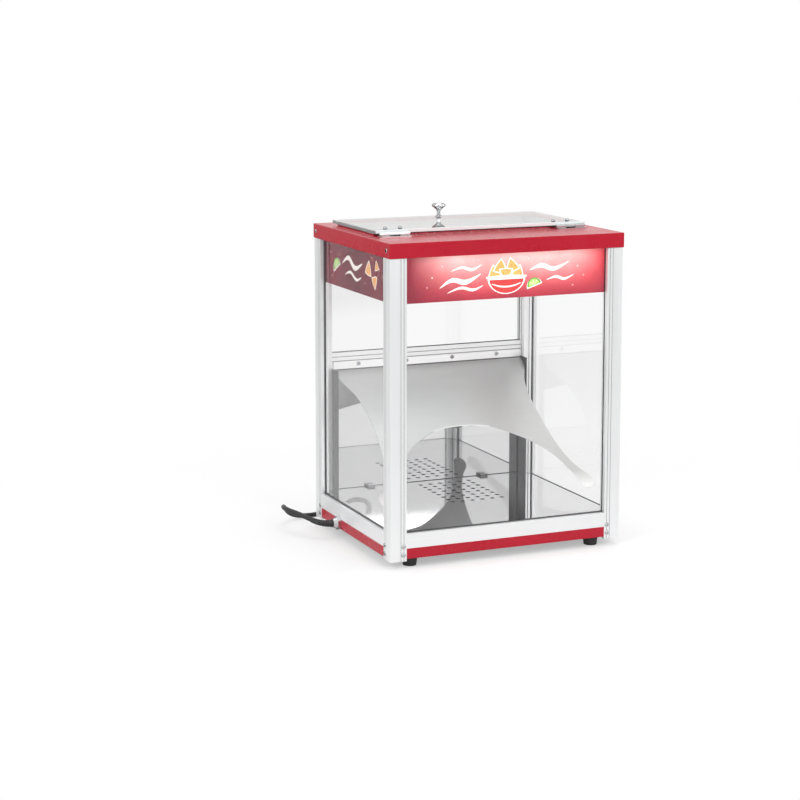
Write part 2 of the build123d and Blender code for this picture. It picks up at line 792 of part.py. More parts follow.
def lid_hinge_fixed():
    """Plate on the cover with a knuckle post at each end."""
    start, stop = lid_hinge_x - lid_hinge_width / 2, lid_hinge_x + lid_hinge_width / 2
    body = block(start, stop, lid_axis_y - hinge_plate_front, lid_axis_y + hinge_plate_rear,
                 cover_top, cover_top + leaf_sheet)
    for x0, x1 in (lid_knuckle_spans()[0], lid_knuckle_spans()[2]):
        body += block(x0, x1, lid_axis_y - lid_knuckle, lid_axis_y + lid_knuckle, cover_top, lid_axis_z)
        body += rod_x(x0, x1, lid_axis_y, lid_axis_z, lid_knuckle)
    body -= rod_x(start, stop, lid_axis_y, lid_axis_z, lid_pin)
    return group([body, flip_x(body)])


def lid_hinge_pins():
    reach = lid_hinge_width / 2 + 1.0
    pin = rod_x(lid_hinge_x - reach, lid_hinge_x + reach, lid_axis_y, lid_axis_z, lid_pin)
    return group([pin, flip_x(pin)])


def lid_screws():
    """Machine screws up through the glass: four for the hinges, one for the knob."""
    screws = []
    for x, y in lid_screw_places():
        screws.append(rod_z(x, y, leaf_under, lid_glass_top + 3.0, lid_screw_radius)
                      + rod_z(x, y, leaf_under - 1.2, leaf_under, 3.4))
    knob_shank = rod_z(0.0, lid_knob_y, lid_glass_bottom, lid_glass_top + knob_screw_reach,
                       lid_screw_radius)
    screws.append(knob_shank + rod_z(0.0, lid_knob_y, lid_glass_bottom - 2.0, lid_glass_bottom, 4.0))
    return group(screws)


def lid_nuts():
    """Domed nuts on top of the glass."""
    nuts = []
    for x, y in lid_screw_places():
        nut = Pos(x, y, lid_glass_top) * extrude(RegularPolygon(3.4, 6), 2.6)
        dome = Pos(x, y, lid_glass_top + 2.4) * Sphere(2.7)
        dome &= block(x - 5, x + 5, y - 5, y + 5, lid_glass_top + 2.4, lid_glass_top + 6)
        nuts.append(nut + dome - rod_z(x, y, lid_glass_top, lid_glass_top + 3.0, lid_screw_radius))
    return group(nuts)


def lid_knob():
    """Turned knob: ring foot, thin neck and a wide flat head."""
    z0 = lid_glass_top
    outline = Polyline((0, total_height), (0, z0), (5.0, z0), (5.0, z0 + 1.5), (2.9, z0 + 3.0),
                       (2.7, z0 + 8.5), (4.2, z0 + 11.5), (9.4, z0 + 15.5))
    rim = ThreePointArc((9.4, z0 + 15.5), (10.9, z0 + 17.6), (9.9, total_height - 1.2))
    crown = Line((9.9, total_height - 1.2), (7.6, total_height))
    top = Line((7.6, total_height), (0, total_height))
    face = Plane.XZ * make_face([*outline.edges(), rim, crown, top])
    knob = Pos(0, lid_knob_y, 0) * revolve(face, Axis.Z)
    return knob - rod_z(0.0, lid_knob_y, z0, z0 + knob_screw_reach, lid_screw_radius)


# ---------------------------------------------------------------- lamp
lamp_y = -glass_y + 32.8
lamp_z = cover_under - 23.8
lamp_plate_x = duct_x - 20.3
lamp_cable_z = cover_under - 5.8
holder_radius = 11.0
holder_end = lamp_plate_x - 34.0
bulb_base_radius = 7.0
bulb_radius = 10.0
bulb_neck = 8.0
bulb_length = 56.0
guard_sheet = 1.2
guard_drop = 15.0           # below the lamp's axis
guard_behind = 15.0
guard_ahead = 14.0
guard_y = lamp_y + guard_behind


def lamp_guard():
    """Bent sheet behind the lamp, hung under the cover, with the holder's end plate."""
    left, right = -lamp_plate_x, lamp_plate_x + 8.0
    front = lamp_y - guard_ahead
    body = block(left, right, front, guard_y, cover_under - guard_sheet, cover_under)
    body += block(left, right, guard_y - guard_sheet, guard_y,
                  lamp_z - guard_drop, cover_under)
    body += block(lamp_plate_x, lamp_plate_x + guard_sheet, front, guard_y,
                  lamp_z - guard_drop + 2.0, cover_under)
    return body


def lamp_holder():
    body = rod_x(holder_end, lamp_plate_x, lamp_y, lamp_z, holder_radius)
    return body - rod_x(holder_end, lamp_plate_x - 12.0, lamp_y, lamp_z, bulb_base_radius)


def lamp_bulb():
    """Tube-shaped lamp: base in the holder, neck, glass and round end."""
    neck_end = holder_end - bulb_neck
    tip = neck_end - bulb_length
    body = rod_x(holder_end, lamp_plate_x - 14.0, lamp_y, lamp_z, bulb_base_radius)
    body += cone_x(holder_end, neck_end, lamp_y, lamp_z, bulb_base_radius, bulb_radius)
    body += rod_x(tip, neck_end, lamp_y, lamp_z, bulb_radius)
    return body + Pos(tip, lamp_y, lamp_z) * Sphere(bulb_radius)


def wire_duct():
    outer = duct_side / 2
    inner = outer - 1.0
    top = lamp_cable_z - 8.0
    body = block(duct_x - outer, duct_x + outer, duct_y - outer, duct_y + outer, floor_top, top)
    return body - block(duct_x - inner, duct_x + inner, duct_y - inner, duct_y + inner, floor_top, top)


# ---------------------------------------------------------------- heater and wiring
tray_x = (hole_field_x - 55.0, hole_field_x + 55.0)
tray_y = (hole_field_y - 75.0, hole_field_y + 68.0)
tray_floor = pan_bottom + 6.5
tray_top = rail_top - 6.0
element_z = rail_top - 16.0
element_radius = 3.25
element_half = 30.0
element_inset = 17.0
saddle_inset = 47.0
saddle_length = 4.0
element_x = (hole_field_x - element_half, hole_field_x + element_half)
element_front = tray_y[0] + element_inset
terminal_radius = 1.2


def heater_tray():
    """Open tray on four feet, with two saddles that carry the element."""
    x0, x1 = tray_x
    y0, y1 = tray_y
    body = block(x0, x1, y0, y1, tray_floor - 1, tray_top)
    body -= block(x0 + 1, x1 - 1, y0 + 1, y1 - 1, tray_floor, tray_top)
    for x in (x0 + 8, x1 - 8):
        for y in (y0 + 8, y1 - 8):
            body += block(x - 4, x + 4, y - 4, y + 4, pan_bottom + pan_sheet, tray_floor - 1)
    for x in element_x:
        body -= rod_y(x, y1 - 1, y1, element_z, element_radius)
        body += block(x - 1, x + 1, y0 + saddle_inset, y0 + saddle_inset + saddle_length,
                      tray_floor, element_z - element_radius)
    return body


def heater_element():
    """Tubular element bent into a U, with a terminal pin at each end."""
    x0, x1 = element_x
    y_end = tray_y[1] + 4.0
    path = FilletPolyline((x1, y_end, element_z), (x1, element_front, element_z),
                          (x0, element_front, element_z), (x0, y_end, element_z), radius=20.0)
    body = sweep(Plane(origin=path @ 0, z_dir=path % 0) * Circle(element_radius), path=path)
    for x in element_x:
        body += rod_y(x, y_end, y_end + 8.0, element_z, terminal_radius)
    return body


def thermostat():
    """Snap disc under the floor plate with two blades."""
    x, y = tray_x[0] - 27.0, hole_field_y + 12.0
    can_bottom = rail_top - 8.0
    body = rod_z(x, y, can_bottom, rail_top, 8.0)
    for side in (-1, 1):
        blade = x + side * 4
        body += block(blade - 0.4, blade + 0.4, y - 2.4, y + 2.4, can_bottom - 7.0, can_bottom)
    return body


gland_y = total_depth / 2 - gland_from_rear
gland_z = pan_bottom + gland_lift
block_x = (-inner_x + 15.0, -inner_x + 45.0)
block_y = (gland_y - 12.0, gland_y + 14.0)
block_top = pan_top + 2.0


def terminal_block():
    body = block(block_x[0], block_x[1], block_y[0], block_y[1], pan_bottom + pan_sheet, block_top)
    for index in range(3):
        y = block_y[0] + 5.0 + index * 8.0
        body -= rod_z(sum(block_x) / 2, y, block_top - 4.0, block_top, 2.2)
    return body


def wire(points, radius, bend):
    path = FilletPolyline(*points, radius=bend)
    return sweep(Plane(origin=path @ 0, z_dir=path % 0) * Circle(radius), path=path)


def wiring():
    """Heater leads, switch lead, lamp cable and the supply tail inside the gland."""
    thin = 1.25
    start = block_x[1]
    pin_under = element_z - terminal_radius

    def heater_lead(start_y, across, level, pin_x, pin_y):
        return wire([(start, start_y, level), (start + across, start_y, level),
                     (start + across, pin_y, level), (pin_x, pin_y, level),
                     (pin_x, pin_y, pin_under)], thin, 2.5)

    heat_a = heater_lead(gland_y - 7, 20, pan_bottom + 2.7, element_x[0], tray_y[1] + 6)
    heat_b = heater_lead(gland_y - 2, 30, pan_bottom + 5.4, element_x[1], tray_y[1] + 10)

    z, y, x = pan_bottom + 8.1, inner_y + 3.2, switch_x[0]
    switch = wire([(start, gland_y + 4, z), (start + 40, gland_y + 4, z), (start + 40, y, z),
                   (x, y, z), (x, blade_y, z), (x, blade_y, switch_z - blade_half)], thin, 4.0)

    z, y, x = pan_bottom + 11.8, inner_y + 7.0, leg_end_x - 26.0
    lamp = wire([(start, gland_y + 10, z), (start + 50, gland_y + 10, z), (start + 50, y, z),
                 (x, y, z), (x, duct_y, z), (duct_x, duct_y, z), (duct_x, duct_y, lamp_cable_z),
                 (duct_x, lamp_y, lamp_cable_z), (lamp_plate_x + guard_sheet, lamp_y, lamp_cable_z)],
                lamp_cable_radius, 4.8)
    tail = rod_x(-frame_x + 8.0, block_x[0], gland_y, gland_z, cord_radius)
    return group([heat_a, heat_b, switch, lamp, tail])


def switch_bodies():
    """Snap-in housings with a thin bezel, a rocker well and two blades at the back."""
    half_x, half_z = switch_hole_width / 2, switch_hole_height / 2
    front = rear_rail_outer
    face = front + bezel_sheet
    bodies = []
    for x in switch_x:
        body = block(x - half_x, x + half_x, switch_back, front, switch_z - half_z, switch_z + half_z)
        body += block(x - half_x - 1, x + half_x + 1, front, face,
                      switch_z - half_z - 1, switch_z + half_z + 1)
        body -= block(x - well_half_x, x + well_half_x, front - 8.0, face,
                      switch_z - well_half_z, switch_z + well_half_z)
        body += rod_z(x, rocker_pivot_y, switch_z - well_half_z, switch_z + well_half_z, rocker_pin)
        for blade_x in (x, x + 5.0):
            body += block(blade_x - 2.0, blade_x + 2.0, switch_back - 7.0, switch_back,
                          switch_z - blade_half, switch_z + blade_half)
        bodies.append(body)
    return group(bodies)


def rocker(x):
    """Paddle on a pivot pin, flat inside and dished outside, tilted to its off side at rest."""
    back_half, front_half = 5.0, 8.0
    back_y, front_y, dish_y = -3.0, 3.4, 2.2
    height = well_half_z - 0.3
    back = Line((-back_half, back_y), (back_half, back_y))
    right = Line((back_half, back_y), (front_half, front_y))
    dish = ThreePointArc((front_half, front_y), (0, dish_y), (-front_half, front_y))
    left = Line((-front_half, front_y), (-back_half, back_y))
    face = make_face(Wire([back, right, dish, left]))
    body = Pos(0, 0, -height) * extrude(face, 2 * height)
    body -= Cylinder(rocker_pin + pin_clearance, 2 * height + 1)
    return Pos(x, rocker_pivot_y, switch_z) * Rot(0, 0, rocker_tilt) * body


# ---------------------------------------------------------------- gland and cord
gland_shank = 5.0
gland_nut = 5.0
gland_dome = 6.0
gland_face = -frame_x
boot_start = gland_face - gland_nut - gland_dome
boot_bend = 32.0
boot_turn = math.radians(60.0)
boot_lift = math.radians(15.0)  # the bend's plane leans up from the level
first_run = 23.0            # the cord goes straight on out of the boot


def cable_gland():
    """Hexagon and dome outside the pan, shank through it and a round lock nut inside."""
    outward = Plane(origin=(gland_face, gland_y, gland_z), z_dir=(-1, 0, 0))
    hexagon = extrude(outward * RegularPolygon(11.0, 6), gland_nut)
    dome = cone_x(gland_face - gland_nut, boot_start, gland_y, gland_z, 9.0, 6.6)
    shank = rod_x(gland_face, gland_face + 8.0, gland_y, gland_z, gland_shank)
    inside = gland_face + pan_sheet
    nut = rod_x(inside, inside + 3.5, gland_y, gland_z, gland_shank + 1.3)
    return hexagon + dome + shank + nut


def boot_place(turn):
    """Centre and heading of the boot's middle line after a turn from the gland's axis."""
    aside = boot_bend * (1 - math.cos(turn))
    rear, up = math.cos(boot_lift), math.sin(boot_lift)
    centre = Vector(boot_start - boot_bend * math.sin(turn), gland_y + aside * rear, gland_z + aside * up)
    heading = Vector(-math.cos(turn), math.sin(turn) * rear, math.sin(turn) * up)
    return centre, heading


def cord_boot():
    """Tapered relief that gives way to the rear with the cord."""
    start_radius, end_radius = 6.0, cord_radius + 0.4
    across = (0, -math.sin(boot_lift), math.cos(boot_lift))
    sections = []
    steps = 5
    for index in range(steps):
        share = index / (steps - 1)
        centre, heading = boot_place(boot_turn * share)
        plane = Plane(origin=centre, x_dir=across, z_dir=heading)
        sections.append(plane * Circle(start_radius + share * (end_radius - start_radius)))
    return loft(sections)


table_z = cord_radius
coil_z = cord_radius + tie_thick
coil_x = gland_face + coil_from_side
coil_y = total_depth / 2 + coil_from_rear
coil_start = (coil_x - 2 * cord_radius, coil_y - coil_radius, coil_z)


def cord_route():
    """Points of the lead: out of the boot, one curl in the air down to the table, to the coil."""
    side, rear = gland_face, total_depth / 2
    boot_end, heading = boot_place(boot_turn)
    return [
        tuple(boot_end),
        tuple(boot_end + heading * first_run),
        (side - 62.0, rear - 27.0, table_z + 30.0),
        (side - 52.0, rear + 11.0, table_z + 26.0),
        (side - 30.0, rear + 31.0, table_z + 2.0),
        (side + 10.0, rear + 29.0, table_z),
        (side + 45.0, rear + 54.0, table_z),
        (side + 94.0, rear + 64.0, table_z),
        (side + 150.0, coil_start[1], coil_z),
        coil_start,
    ]


def route_radii(points):
    """Bend radius at each inner point: 0.45 of the shorter run over half the turn's tangent."""
    radii = []
    for before, here, after in zip(points, points[1:], points[2:]):
        first = Vector(*here) - Vector(*before)
        second = Vector(*after) - Vector(*here)
        turn = math.radians(first.get_angle(second))
        radii.append(0.45 * min(first.length, second.length) / math.tan(turn / 2))
    return radii


def cord_lead():
    points = cord_route()
    radii = route_radii(points)
    print("cord bend radii in diameters:", [round(r / (2 * cord_radius), 1) for r in radii])
    path = FilletPolyline(*points, radius=radii)
    body = sweep(Plane(origin=path @ 0, z_dir=path % 0) * Circle(cord_radius), path=path)
    section = math.pi * cord_radius ** 2
    print("lead length", round(path.length, 1), "by volume", round(body.volume / section, 1))
    return body, path.length


def coil_path():
    """Two layers of half turns: spiralling in below, one tilted half turn up, spiralling out above."""
    inward = [coil_radius - index * coil_pitch / 2 for index in range(5)]
    radii = inward + inward[-2::-1]
    edges = [Line(coil_start, (coil_x, coil_start[1], coil_z))]
    offset = -coil_radius
    z = coil_z
    for index, radius in enumerate(radii):
        right_side = index % 2 == 0
        next_offset = offset + 2 * radius if right_side else offset - 2 * radius
        next_z = z + coil_pitch if index == 4 else z
        middle = (coil_x + radius if right_side else coil_x - radius,
                  coil_y + (offset + next_offset) / 2, (z + next_z) / 2)
        edges.append(ThreePointArc((coil_x, coil_y + offset, z), middle,
                                   (coil_x, coil_y + next_offset, next_z)))
        offset, z = next_offset, next_z
    end = (coil_x - 2 * cord_radius, coil_y + offset, z)
    edges.append(Line((coil_x, coil_y + offset, z), end))
    return Wire(edges), end


def least_gap(path):
    """Least clear space between parts of the coil that lie 100 mm or more apart along it."""
    count = 700
    points = [path @ (index / count) for index in range(count + 1)]
    apart = int(count * 100.0 / path.length)
    least = min((points[i] - points[j]).length
                for i in range(0, count + 1, 2) for j in range(i + apart, count + 1, 2))
    return least - 2 * cord_radius


def cord_coil():
    path, end = coil_path()
    print("coil length", round(path.length, 1), "least gap", round(least_gap(path), 2))
    body = sweep(Plane(origin=path @ 0, z_dir=path % 0) * Circle(cord_radius), path=path)
    print("coil by volume", round(body.volume / (math.pi * cord_radius ** 2), 1))
    return body, end, path.length


def coil_tie():
    """Strap round the four turns on the coil's left side."""
    outer_x = coil_x - (coil_radius - coil_pitch / 2) - cord_radius
    inner_radius = coil_radius - 1.5 * coil_pitch
    sag = inner_radius - math.sqrt(inner_radius ** 2 - (coil_pitch / 2 + tie_half) ** 2)
    near_x = coil_x - inner_radius + sag + cord_radius + cord_gap
    y0, y1 = coil_y - tie_half, coil_y + tie_half
    top = coil_z + coil_pitch + cord_radius
    band = block(outer_x - tie_thick, near_x + tie_thick, y0, y1, 0, top + tie_thick)
    return band - block(outer_x, near_x, y0, y1, tie_thick, top)


pin_spread = 9.0
pin_length = 19.0
plug_pin_radius = 2.4


def plug(end):
    """Moulded plug lying beside the coil: tapered relief, round body and two pins."""
    x, y, z = end
    relief_end = x - 33.0
    shoulder = relief_end - 9.0
    face = relief_end - 26.0
    body_radius = z - 0.4
    relief = cone_x(x - cord_gap, relief_end, y, z, cord_radius + 0.4, 5.6)
    body = cone_x(relief_end, shoulder, y, z, 7.0, body_radius)
    body += rod_x(shoulder, face, y, z, body_radius)
    for side in (-1, 1):
        body += rod_x(face, face - pin_length, y + side * pin_spread, z, plug_pin_radius)
    return relief + body


# ---------------------------------------------------------------- export
def build():
    front_left = post()
    save(front_left, "post_front_left")
    save(flip_x(front_left), "post_front_right")
    save(flip_y(front_left), "post_rear_left")
    save(flip_x(flip_y(front_left)), "post_rear_right")
    save(base_pan(), "base_pan")
    save(rubber_feet(), "rubber_feet")
    save(foot_screws(), "foot_screws")
    save(frame_screws(), "frame_screws")
    save(rail_front(), "rail_front")
    save(rail_rear(), "rail_rear")
    side_rail = rail_left()
    save(side_rail, "rail_left")
    save(flip_x(side_rail), "rail_right")
    save(group([upper_rail_front(), flip_y(upper_rail_front())]), "upper_rails_long")
    save(group([upper_rail_left(), flip_x(upper_rail_left())]), "upper_rails_short")
    save(crossbar(), "rear_crossbar")
    save(glass_front(), "glass_front")
    save(glass_left(), "glass_left")
    save(flip_x(glass_left()), "glass_right")
    save(glass_rear(), "glass_rear")
    save(sign_front(), "sign_front")
    save(sign_left(), "sign_left")
    save(flip_x(sign_left()), "sign_right")
    save(floor_plate(), "floor_plate")
    save(deflector(), "deflector")
    save(deflector_screws(), "deflector_screws")
    save(door_jambs(), "door_jambs")
    save(door_magnets(), "door_magnets")
    save(rear_door(), "rear_door")
    save(door_hinge_fixed(), "door_hinge_fixed")
    save(door_hinge_moving(), "door_hinge_moving")
    save(door_hinge_pin(), "door_hinge_pin")
    save(top_cover(), "top_cover")
    save(cover_screws(), "cover_screws")
    save(lid_seal(), "lid_seal")
    save(lid_glass(), "lid_glass")
    save(lid_front_strip(), "lid_front_strip")
    save(lid_hinge_moving(), "lid_hinge_moving")
    save(lid_hinge_fixed(), "lid_hinge_fixed")
    save(lid_hinge_pins(), "lid_hinge_pins")
    save(lid_screws(), "lid_screws")
    save(lid_nuts(), "lid_nuts")
    save(lid_knob(), "lid_knob")
    save(lamp_guard(), "lamp_guard")
    save(lamp_holder(), "lamp_holder")
    save(lamp_bulb(), "lamp_bulb")
    save(wire_duct(), "wire_duct")
    save(heater_tray(), "heater_tray")
    save(heater_element(), "heater_element")
    save(thermostat(), "thermostat")
    save(terminal_block(), "terminal_block")
    save(wiring(), "wiring")
    save(switch_bodies(), "switch_bodies")
    save(rocker(switch_x[0]), "rocker_warm")
    save(rocker(switch_x[1]), "rocker_lamp")
    save(cable_gland(), "cable_gland")
    save(cord_boot(), "cord_boot")
    lead, lead_length = cord_lead()
    save(lead, "cord_lead")
    coil, coil_end, coil_length = cord_coil()
    save(coil, "cord_coil")
    save(coil_tie(), "coil_tie")
    save(plug(coil_end), "plug")
    print("cord length in all", round(lead_length + coil_length, 1))


build()
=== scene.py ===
import math

import bmesh
import bpy
from mathutils import Euler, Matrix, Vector


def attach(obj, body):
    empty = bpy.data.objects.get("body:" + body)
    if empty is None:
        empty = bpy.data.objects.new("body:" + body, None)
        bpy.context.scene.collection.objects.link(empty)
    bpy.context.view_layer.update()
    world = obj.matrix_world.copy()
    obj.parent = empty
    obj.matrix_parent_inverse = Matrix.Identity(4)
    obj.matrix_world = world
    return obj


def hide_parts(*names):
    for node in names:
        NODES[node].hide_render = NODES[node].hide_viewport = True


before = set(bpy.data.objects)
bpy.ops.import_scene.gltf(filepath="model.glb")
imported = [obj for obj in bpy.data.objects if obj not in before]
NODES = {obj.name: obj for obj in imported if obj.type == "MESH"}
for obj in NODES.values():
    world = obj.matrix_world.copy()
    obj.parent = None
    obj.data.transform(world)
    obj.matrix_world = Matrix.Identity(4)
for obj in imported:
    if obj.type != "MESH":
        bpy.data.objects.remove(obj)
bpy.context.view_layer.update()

# Chip warmer in metres: +Z up, X width, front towards -Y, origin at the bottom centre.
# The solids come from the frame. This script gives each its finish, adds the beads along the
# panes, the print, the ribs of the boot and the cord as one tube, and sets up the studio.
SCENE = bpy.context.scene
SCENE.view_settings.view_transform = "Standard"

# places that the dressing shares with the solids
PANE_Y = 0.1448             # middle plane of the front and rear panes
PANE_X = 0.181              # middle plane of the side panes
HALF_PANE = 0.002
SIGN_GAP = 0.0002           # pane to sign panel
SIGN_BOTTOM = 0.391
SIGN_TOP = 0.461
RAIL_TOP = 0.052
CROSSBAR_TOP = 0.275
POST_EDGE_X = 0.1651        # the posts' legs end here, in X and in Y
POST_EDGE_Y = 0.1278


def add_object(name, data):
    made = bpy.data.objects.new(name, data)
    SCENE.collection.objects.link(made)
    return made


def add_solid(name, mesh, material):
    """One closed piece from the mesh that was built for it."""
    bmesh.ops.recalc_face_normals(mesh, faces=mesh.faces)
    data = bpy.data.meshes.new(name)
    mesh.to_mesh(data)
    mesh.free()
    data.materials.append(material)
    return add_object(name, data)


# ---------------------------------------------------------------- camera
def make_camera():
    """A long lens from the left and a little above, as in the photo."""
    tilt_down, pan_right = 8.265, 23.037
    data = bpy.data.cameras.new("camera")
    data.sensor_width = 36.0
    data.lens = 91.73
    data.shift_y = -0.12
    data.clip_end = 50.0
    camera = add_object("camera", data)
    camera.location = (-1.3105, -2.8246, 0.8149)
    camera.rotation_euler = Euler((math.radians(90 - tilt_down), 0, math.radians(-pan_right)))
    SCENE.camera = camera


# ---------------------------------------------------------------- node helpers
def grey(level):
    return (level,) * 3


def shade(color, share):
    return tuple(part * share for part in color)


class Nodes:
    """A node tree under construction."""

    def __init__(self, tree):
        self.tree = tree

    def link(self, source, target):
        self.tree.links.new(source, target)

    def node(self, kind, **values):
        node = self.tree.nodes.new(kind)
        for key, value in values.items():
            setattr(node, key, value)
        return node

    def part(self, vector, axis):
        """One coordinate of a vector."""
        split = self.node("ShaderNodeSeparateXYZ")
        self.link(vector, split.inputs["Vector"])
        return split.outputs[axis]

    def coordinate(self, kind, axis):
        return self.part(self.node("ShaderNodeTexCoord").outputs[kind], axis)

    def ramp(self, source, low, high, start=0.0, end=1.0):
        """Number that runs from low to high while source runs from start to end."""
        ramp = self.node("ShaderNodeMapRange")
        ramp.inputs["From Min"].default_value = start
        ramp.inputs["From Max"].default_value = end
        ramp.inputs["To Min"].default_value = low
        ramp.inputs["To Max"].default_value = high
        self.link(source, ramp.inputs["Value"])
        return ramp.outputs["Result"]

    def math(self, operation, first, second=None):
        node = self.node("ShaderNodeMath", operation=operation)
        for socket, value in zip(node.inputs, (first, second)):
            if value is None:
                continue
            if isinstance(value, (int, float)):
                socket.default_value = value
            else:
                self.link(value, socket)
        return node.outputs["Value"]

    def times(self, product, *factors):
        for factor in factors:
            product = self.math("MULTIPLY", product, factor)
        return product

    def blend(self, source, color_a, color_b):
        """Colour that runs from color_a to color_b as source runs from 0 to 1."""
        mix = self.node("ShaderNodeMix", data_type="RGBA")
        self.link(source, mix.inputs["Factor"])
        for name, color in (("A", color_a), ("B", color_b)):
            socket = [s for s in mix.inputs if s.name == name and s.type == "RGBA"][0]
            if isinstance(color, tuple):
                socket.default_value = (*color, 1.0)
            else:
                self.link(color, socket)
        return [s for s in mix.outputs if s.type == "RGBA"][0]

    def mirror_rays(self, path):
        """1 for rays off a mirror. Rays through glass count as glossy too and are taken out."""
        rays = self.math("SUBTRACT", path["Is Glossy Ray"], path["Is Transmission Ray"])
        return self.math("MAXIMUM", rays, 0.0)


class Look(Nodes):
    """A material: plain values first, then the patterns that vary them.

    Further sockets are given by name, with underscores for spaces.
    """

    def __init__(self, name, color, roughness, metallic=0.0, **sockets):
        self.material = bpy.data.materials.new(name)
        self.material.use_nodes = True
        super().__init__(self.material.node_tree)
        self.shader = self.tree.nodes["Principled BSDF"]
        self.set("Base Color", (*color, 1.0))
        self.set("Roughness", roughness)
        self.set("Metallic", metallic)
        for socket, value in sockets.items():
            self.set(socket.replace("_", " "), value)

    def set(self, socket, value):
        self.shader.inputs[socket].default_value = value

    def feed(self, socket, source):
        self.link(source, self.shader.inputs[socket])

    def place(self, scale=(1, 1, 1)):
        """Object coordinates in metres, stretched by scale."""
        coordinates = self.node("ShaderNodeTexCoord")
        mapping = self.node("ShaderNodeMapping")
        mapping.inputs["Scale"].default_value = scale
        self.link(coordinates.outputs["Object"], mapping.inputs["Vector"])
        return mapping.outputs["Vector"]

    def noise(self, scale, stretch=(1, 1, 1), detail=3.0):
        noise = self.node("ShaderNodeTexNoise")
        noise.inputs["Scale"].default_value = scale
        noise.inputs["Detail"].default_value = detail
        self.link(self.place(stretch), noise.inputs["Vector"])
        return noise.outputs["Fac"]

    def lines(self, axis, along, across, detail=3.0):
        """Noise drawn out into fine lines that run along one axis."""
        stretch = tuple(along if name == axis else across for name in "xyz")
        return self.noise(1.0, stretch, detail)

    def share(self, axis):
        """Where a point lies between the ends of the object's own box, 0 to 1."""
        return self.coordinate("Generated", axis)

    def facing(self, axis):
        """How squarely the surface faces along one of the object's own axes, -1 to 1."""
        return self.coordinate("Normal", axis)

    def edges(self, faces_axis):
        """1 on a sheet's edges and hole walls, which don't face along faces_axis."""
        return self.math("LESS_THAN", self.math("ABSOLUTE", self.facing(faces_axis)), 0.5)

    def painted_seam_shade(self, reach, plain, dark):
        """Painted shade: colour goes dark where ambient occlusion finds grooves and seams narrower
        than reach.
        """
        open_sky = self.node("ShaderNodeAmbientOcclusion", samples=6)
        open_sky.inputs["Distance"].default_value = reach
        occlusion_shade = self.ramp(open_sky.outputs["AO"], 1.0, 0.0, start=0.45, end=0.85)
        return self.blend(occlusion_shade, plain, dark)

    def vary_color(self, source, color_a, color_b):
        self.feed("Base Color", self.blend(source, color_a, color_b))

    def vary_roughness(self, source, low, high):
        self.feed("Roughness", self.ramp(source, low, high, start=0.3, end=0.7))

    def glow(self, color, strength):
        """The surface gives off its own colour."""
        self.feed("Base Color", color)
        self.feed("Emission Color", color)
        self.set("Emission Strength", strength)

    def bump(self, source, distance, strength, edge=0.0):
        """Fine relief; edge is the radius to which the sharp edges are softened."""
        bump = self.node("ShaderNodeBump")
        bump.inputs["Strength"].default_value = strength
        bump.inputs["Distance"].default_value = distance
        self.link(source, bump.inputs["Height"])
        if edge:
            rounded = self.node("ShaderNodeBevel", samples=4)
            rounded.inputs["Radius"].default_value = edge
            self.link(rounded.outputs["Normal"], bump.inputs["Normal"])
        self.feed("Normal", bump.outputs["Normal"])

    def outline(self, plain, dark):
        """Painted shade: bright metal is painted dark where its surface turns away from the eye,
        standing in for the dark it reflects there.
        """
        away = self.node("ShaderNodeLayerWeight")
        away.inputs["Blend"].default_value = 0.5
        rim = self.ramp(away.outputs["Facing"], 0.0, 1.0, start=0.42, end=0.72)
        self.feed("Base Color", self.blend(rim, plain, dark))

    def mix_surface(self, share, other):
        """The surface goes over from its own shader to another as share runs from 0 to 1."""
        mix = self.node("ShaderNodeMixShader")
        self.link(share, mix.inputs["Fac"])
        self.link(self.shader.outputs["BSDF"], mix.inputs[1])
        self.link(other, mix.inputs[2])
        self.link(mix.outputs["Shader"], self.tree.nodes["Material Output"].inputs["Surface"])

    def let_lamps_through(self):
        """Lamp light passes straight through the glass to what stands behind it."""
        path = self.node("ShaderNodeLightPath")
        clear = self.node("ShaderNodeBsdfTransparent")
        clear.inputs["Color"].default_value = (0.965, 0.967, 0.965, 1.0)
        self.mix_surface(path.outputs["Is Shadow Ray"], clear.outputs["BSDF"])


# ---------------------------------------------------------------- metals and glass
def anodised(axis):
    """Satin white-silver extrusion, its die lines running along axis."""
    look = Look(f"anodised_aluminium_{axis}", (0.86, 0.865, 0.87), 0.40, metallic=0.65)
    pale, dull, seam_shade = (0.93, 0.935, 0.94), (0.82, 0.83, 0.84), (0.10, 0.10, 0.105)
    lines = look.lines(axis, along=5.0, across=420.0, detail=4.0)
    plain = look.blend(look.times(lines, look.noise(9.0)), pale, dull)
    # painted shade in the grooves and seams, darkened by ambient occlusion
    look.feed("Base Color", look.painted_seam_shade(0.0014, plain, seam_shade))
    look.vary_roughness(lines, 0.34, 0.46)
    look.bump(lines, distance=0.00004, strength=0.4, edge=0.0007)
    return look.material


def red_enamel():
    """Gloss powder coat with a faint orange peel; undersides are painted dull grey as painted
    shade, which keeps their red out of nearby reflections.
    """
    look = Look("red_enamel", (0.44, 0.006, 0.02), 0.28, Specular_IOR_Level=0.25,
                Coat_Weight=0.08, Coat_Roughness=0.08)
    deep, bright, underside_shade_grey = (0.36, 0.003, 0.014), (0.50, 0.012, 0.033), (0.16, 0.155, 0.15)
    red = look.blend(look.noise(5.0, detail=4.0), deep, bright)
    # painted shade: faces that look down are dull grey
    under = look.math("LESS_THAN", look.facing("Z"), -0.5)
    look.vary_color(under, red, underside_shade_grey)
    look.vary_roughness(look.noise(30.0), 0.24, 0.34)
    peel = look.noise(420.0, detail=2.0)
    look.bump(peel, distance=0.00010, strength=0.22, edge=0.0009)
    return look.material


def clear_glass():
    look = Look("clear_glass", grey(0.985), 0.0, IOR=1.45, Specular_IOR_Level=0.22,
                Transmission_Weight=1.0)
    look.vary_roughness(look.noise(7.0, detail=5.0), 0.0, 0.012)
    look.let_lamps_through()
    return look.material


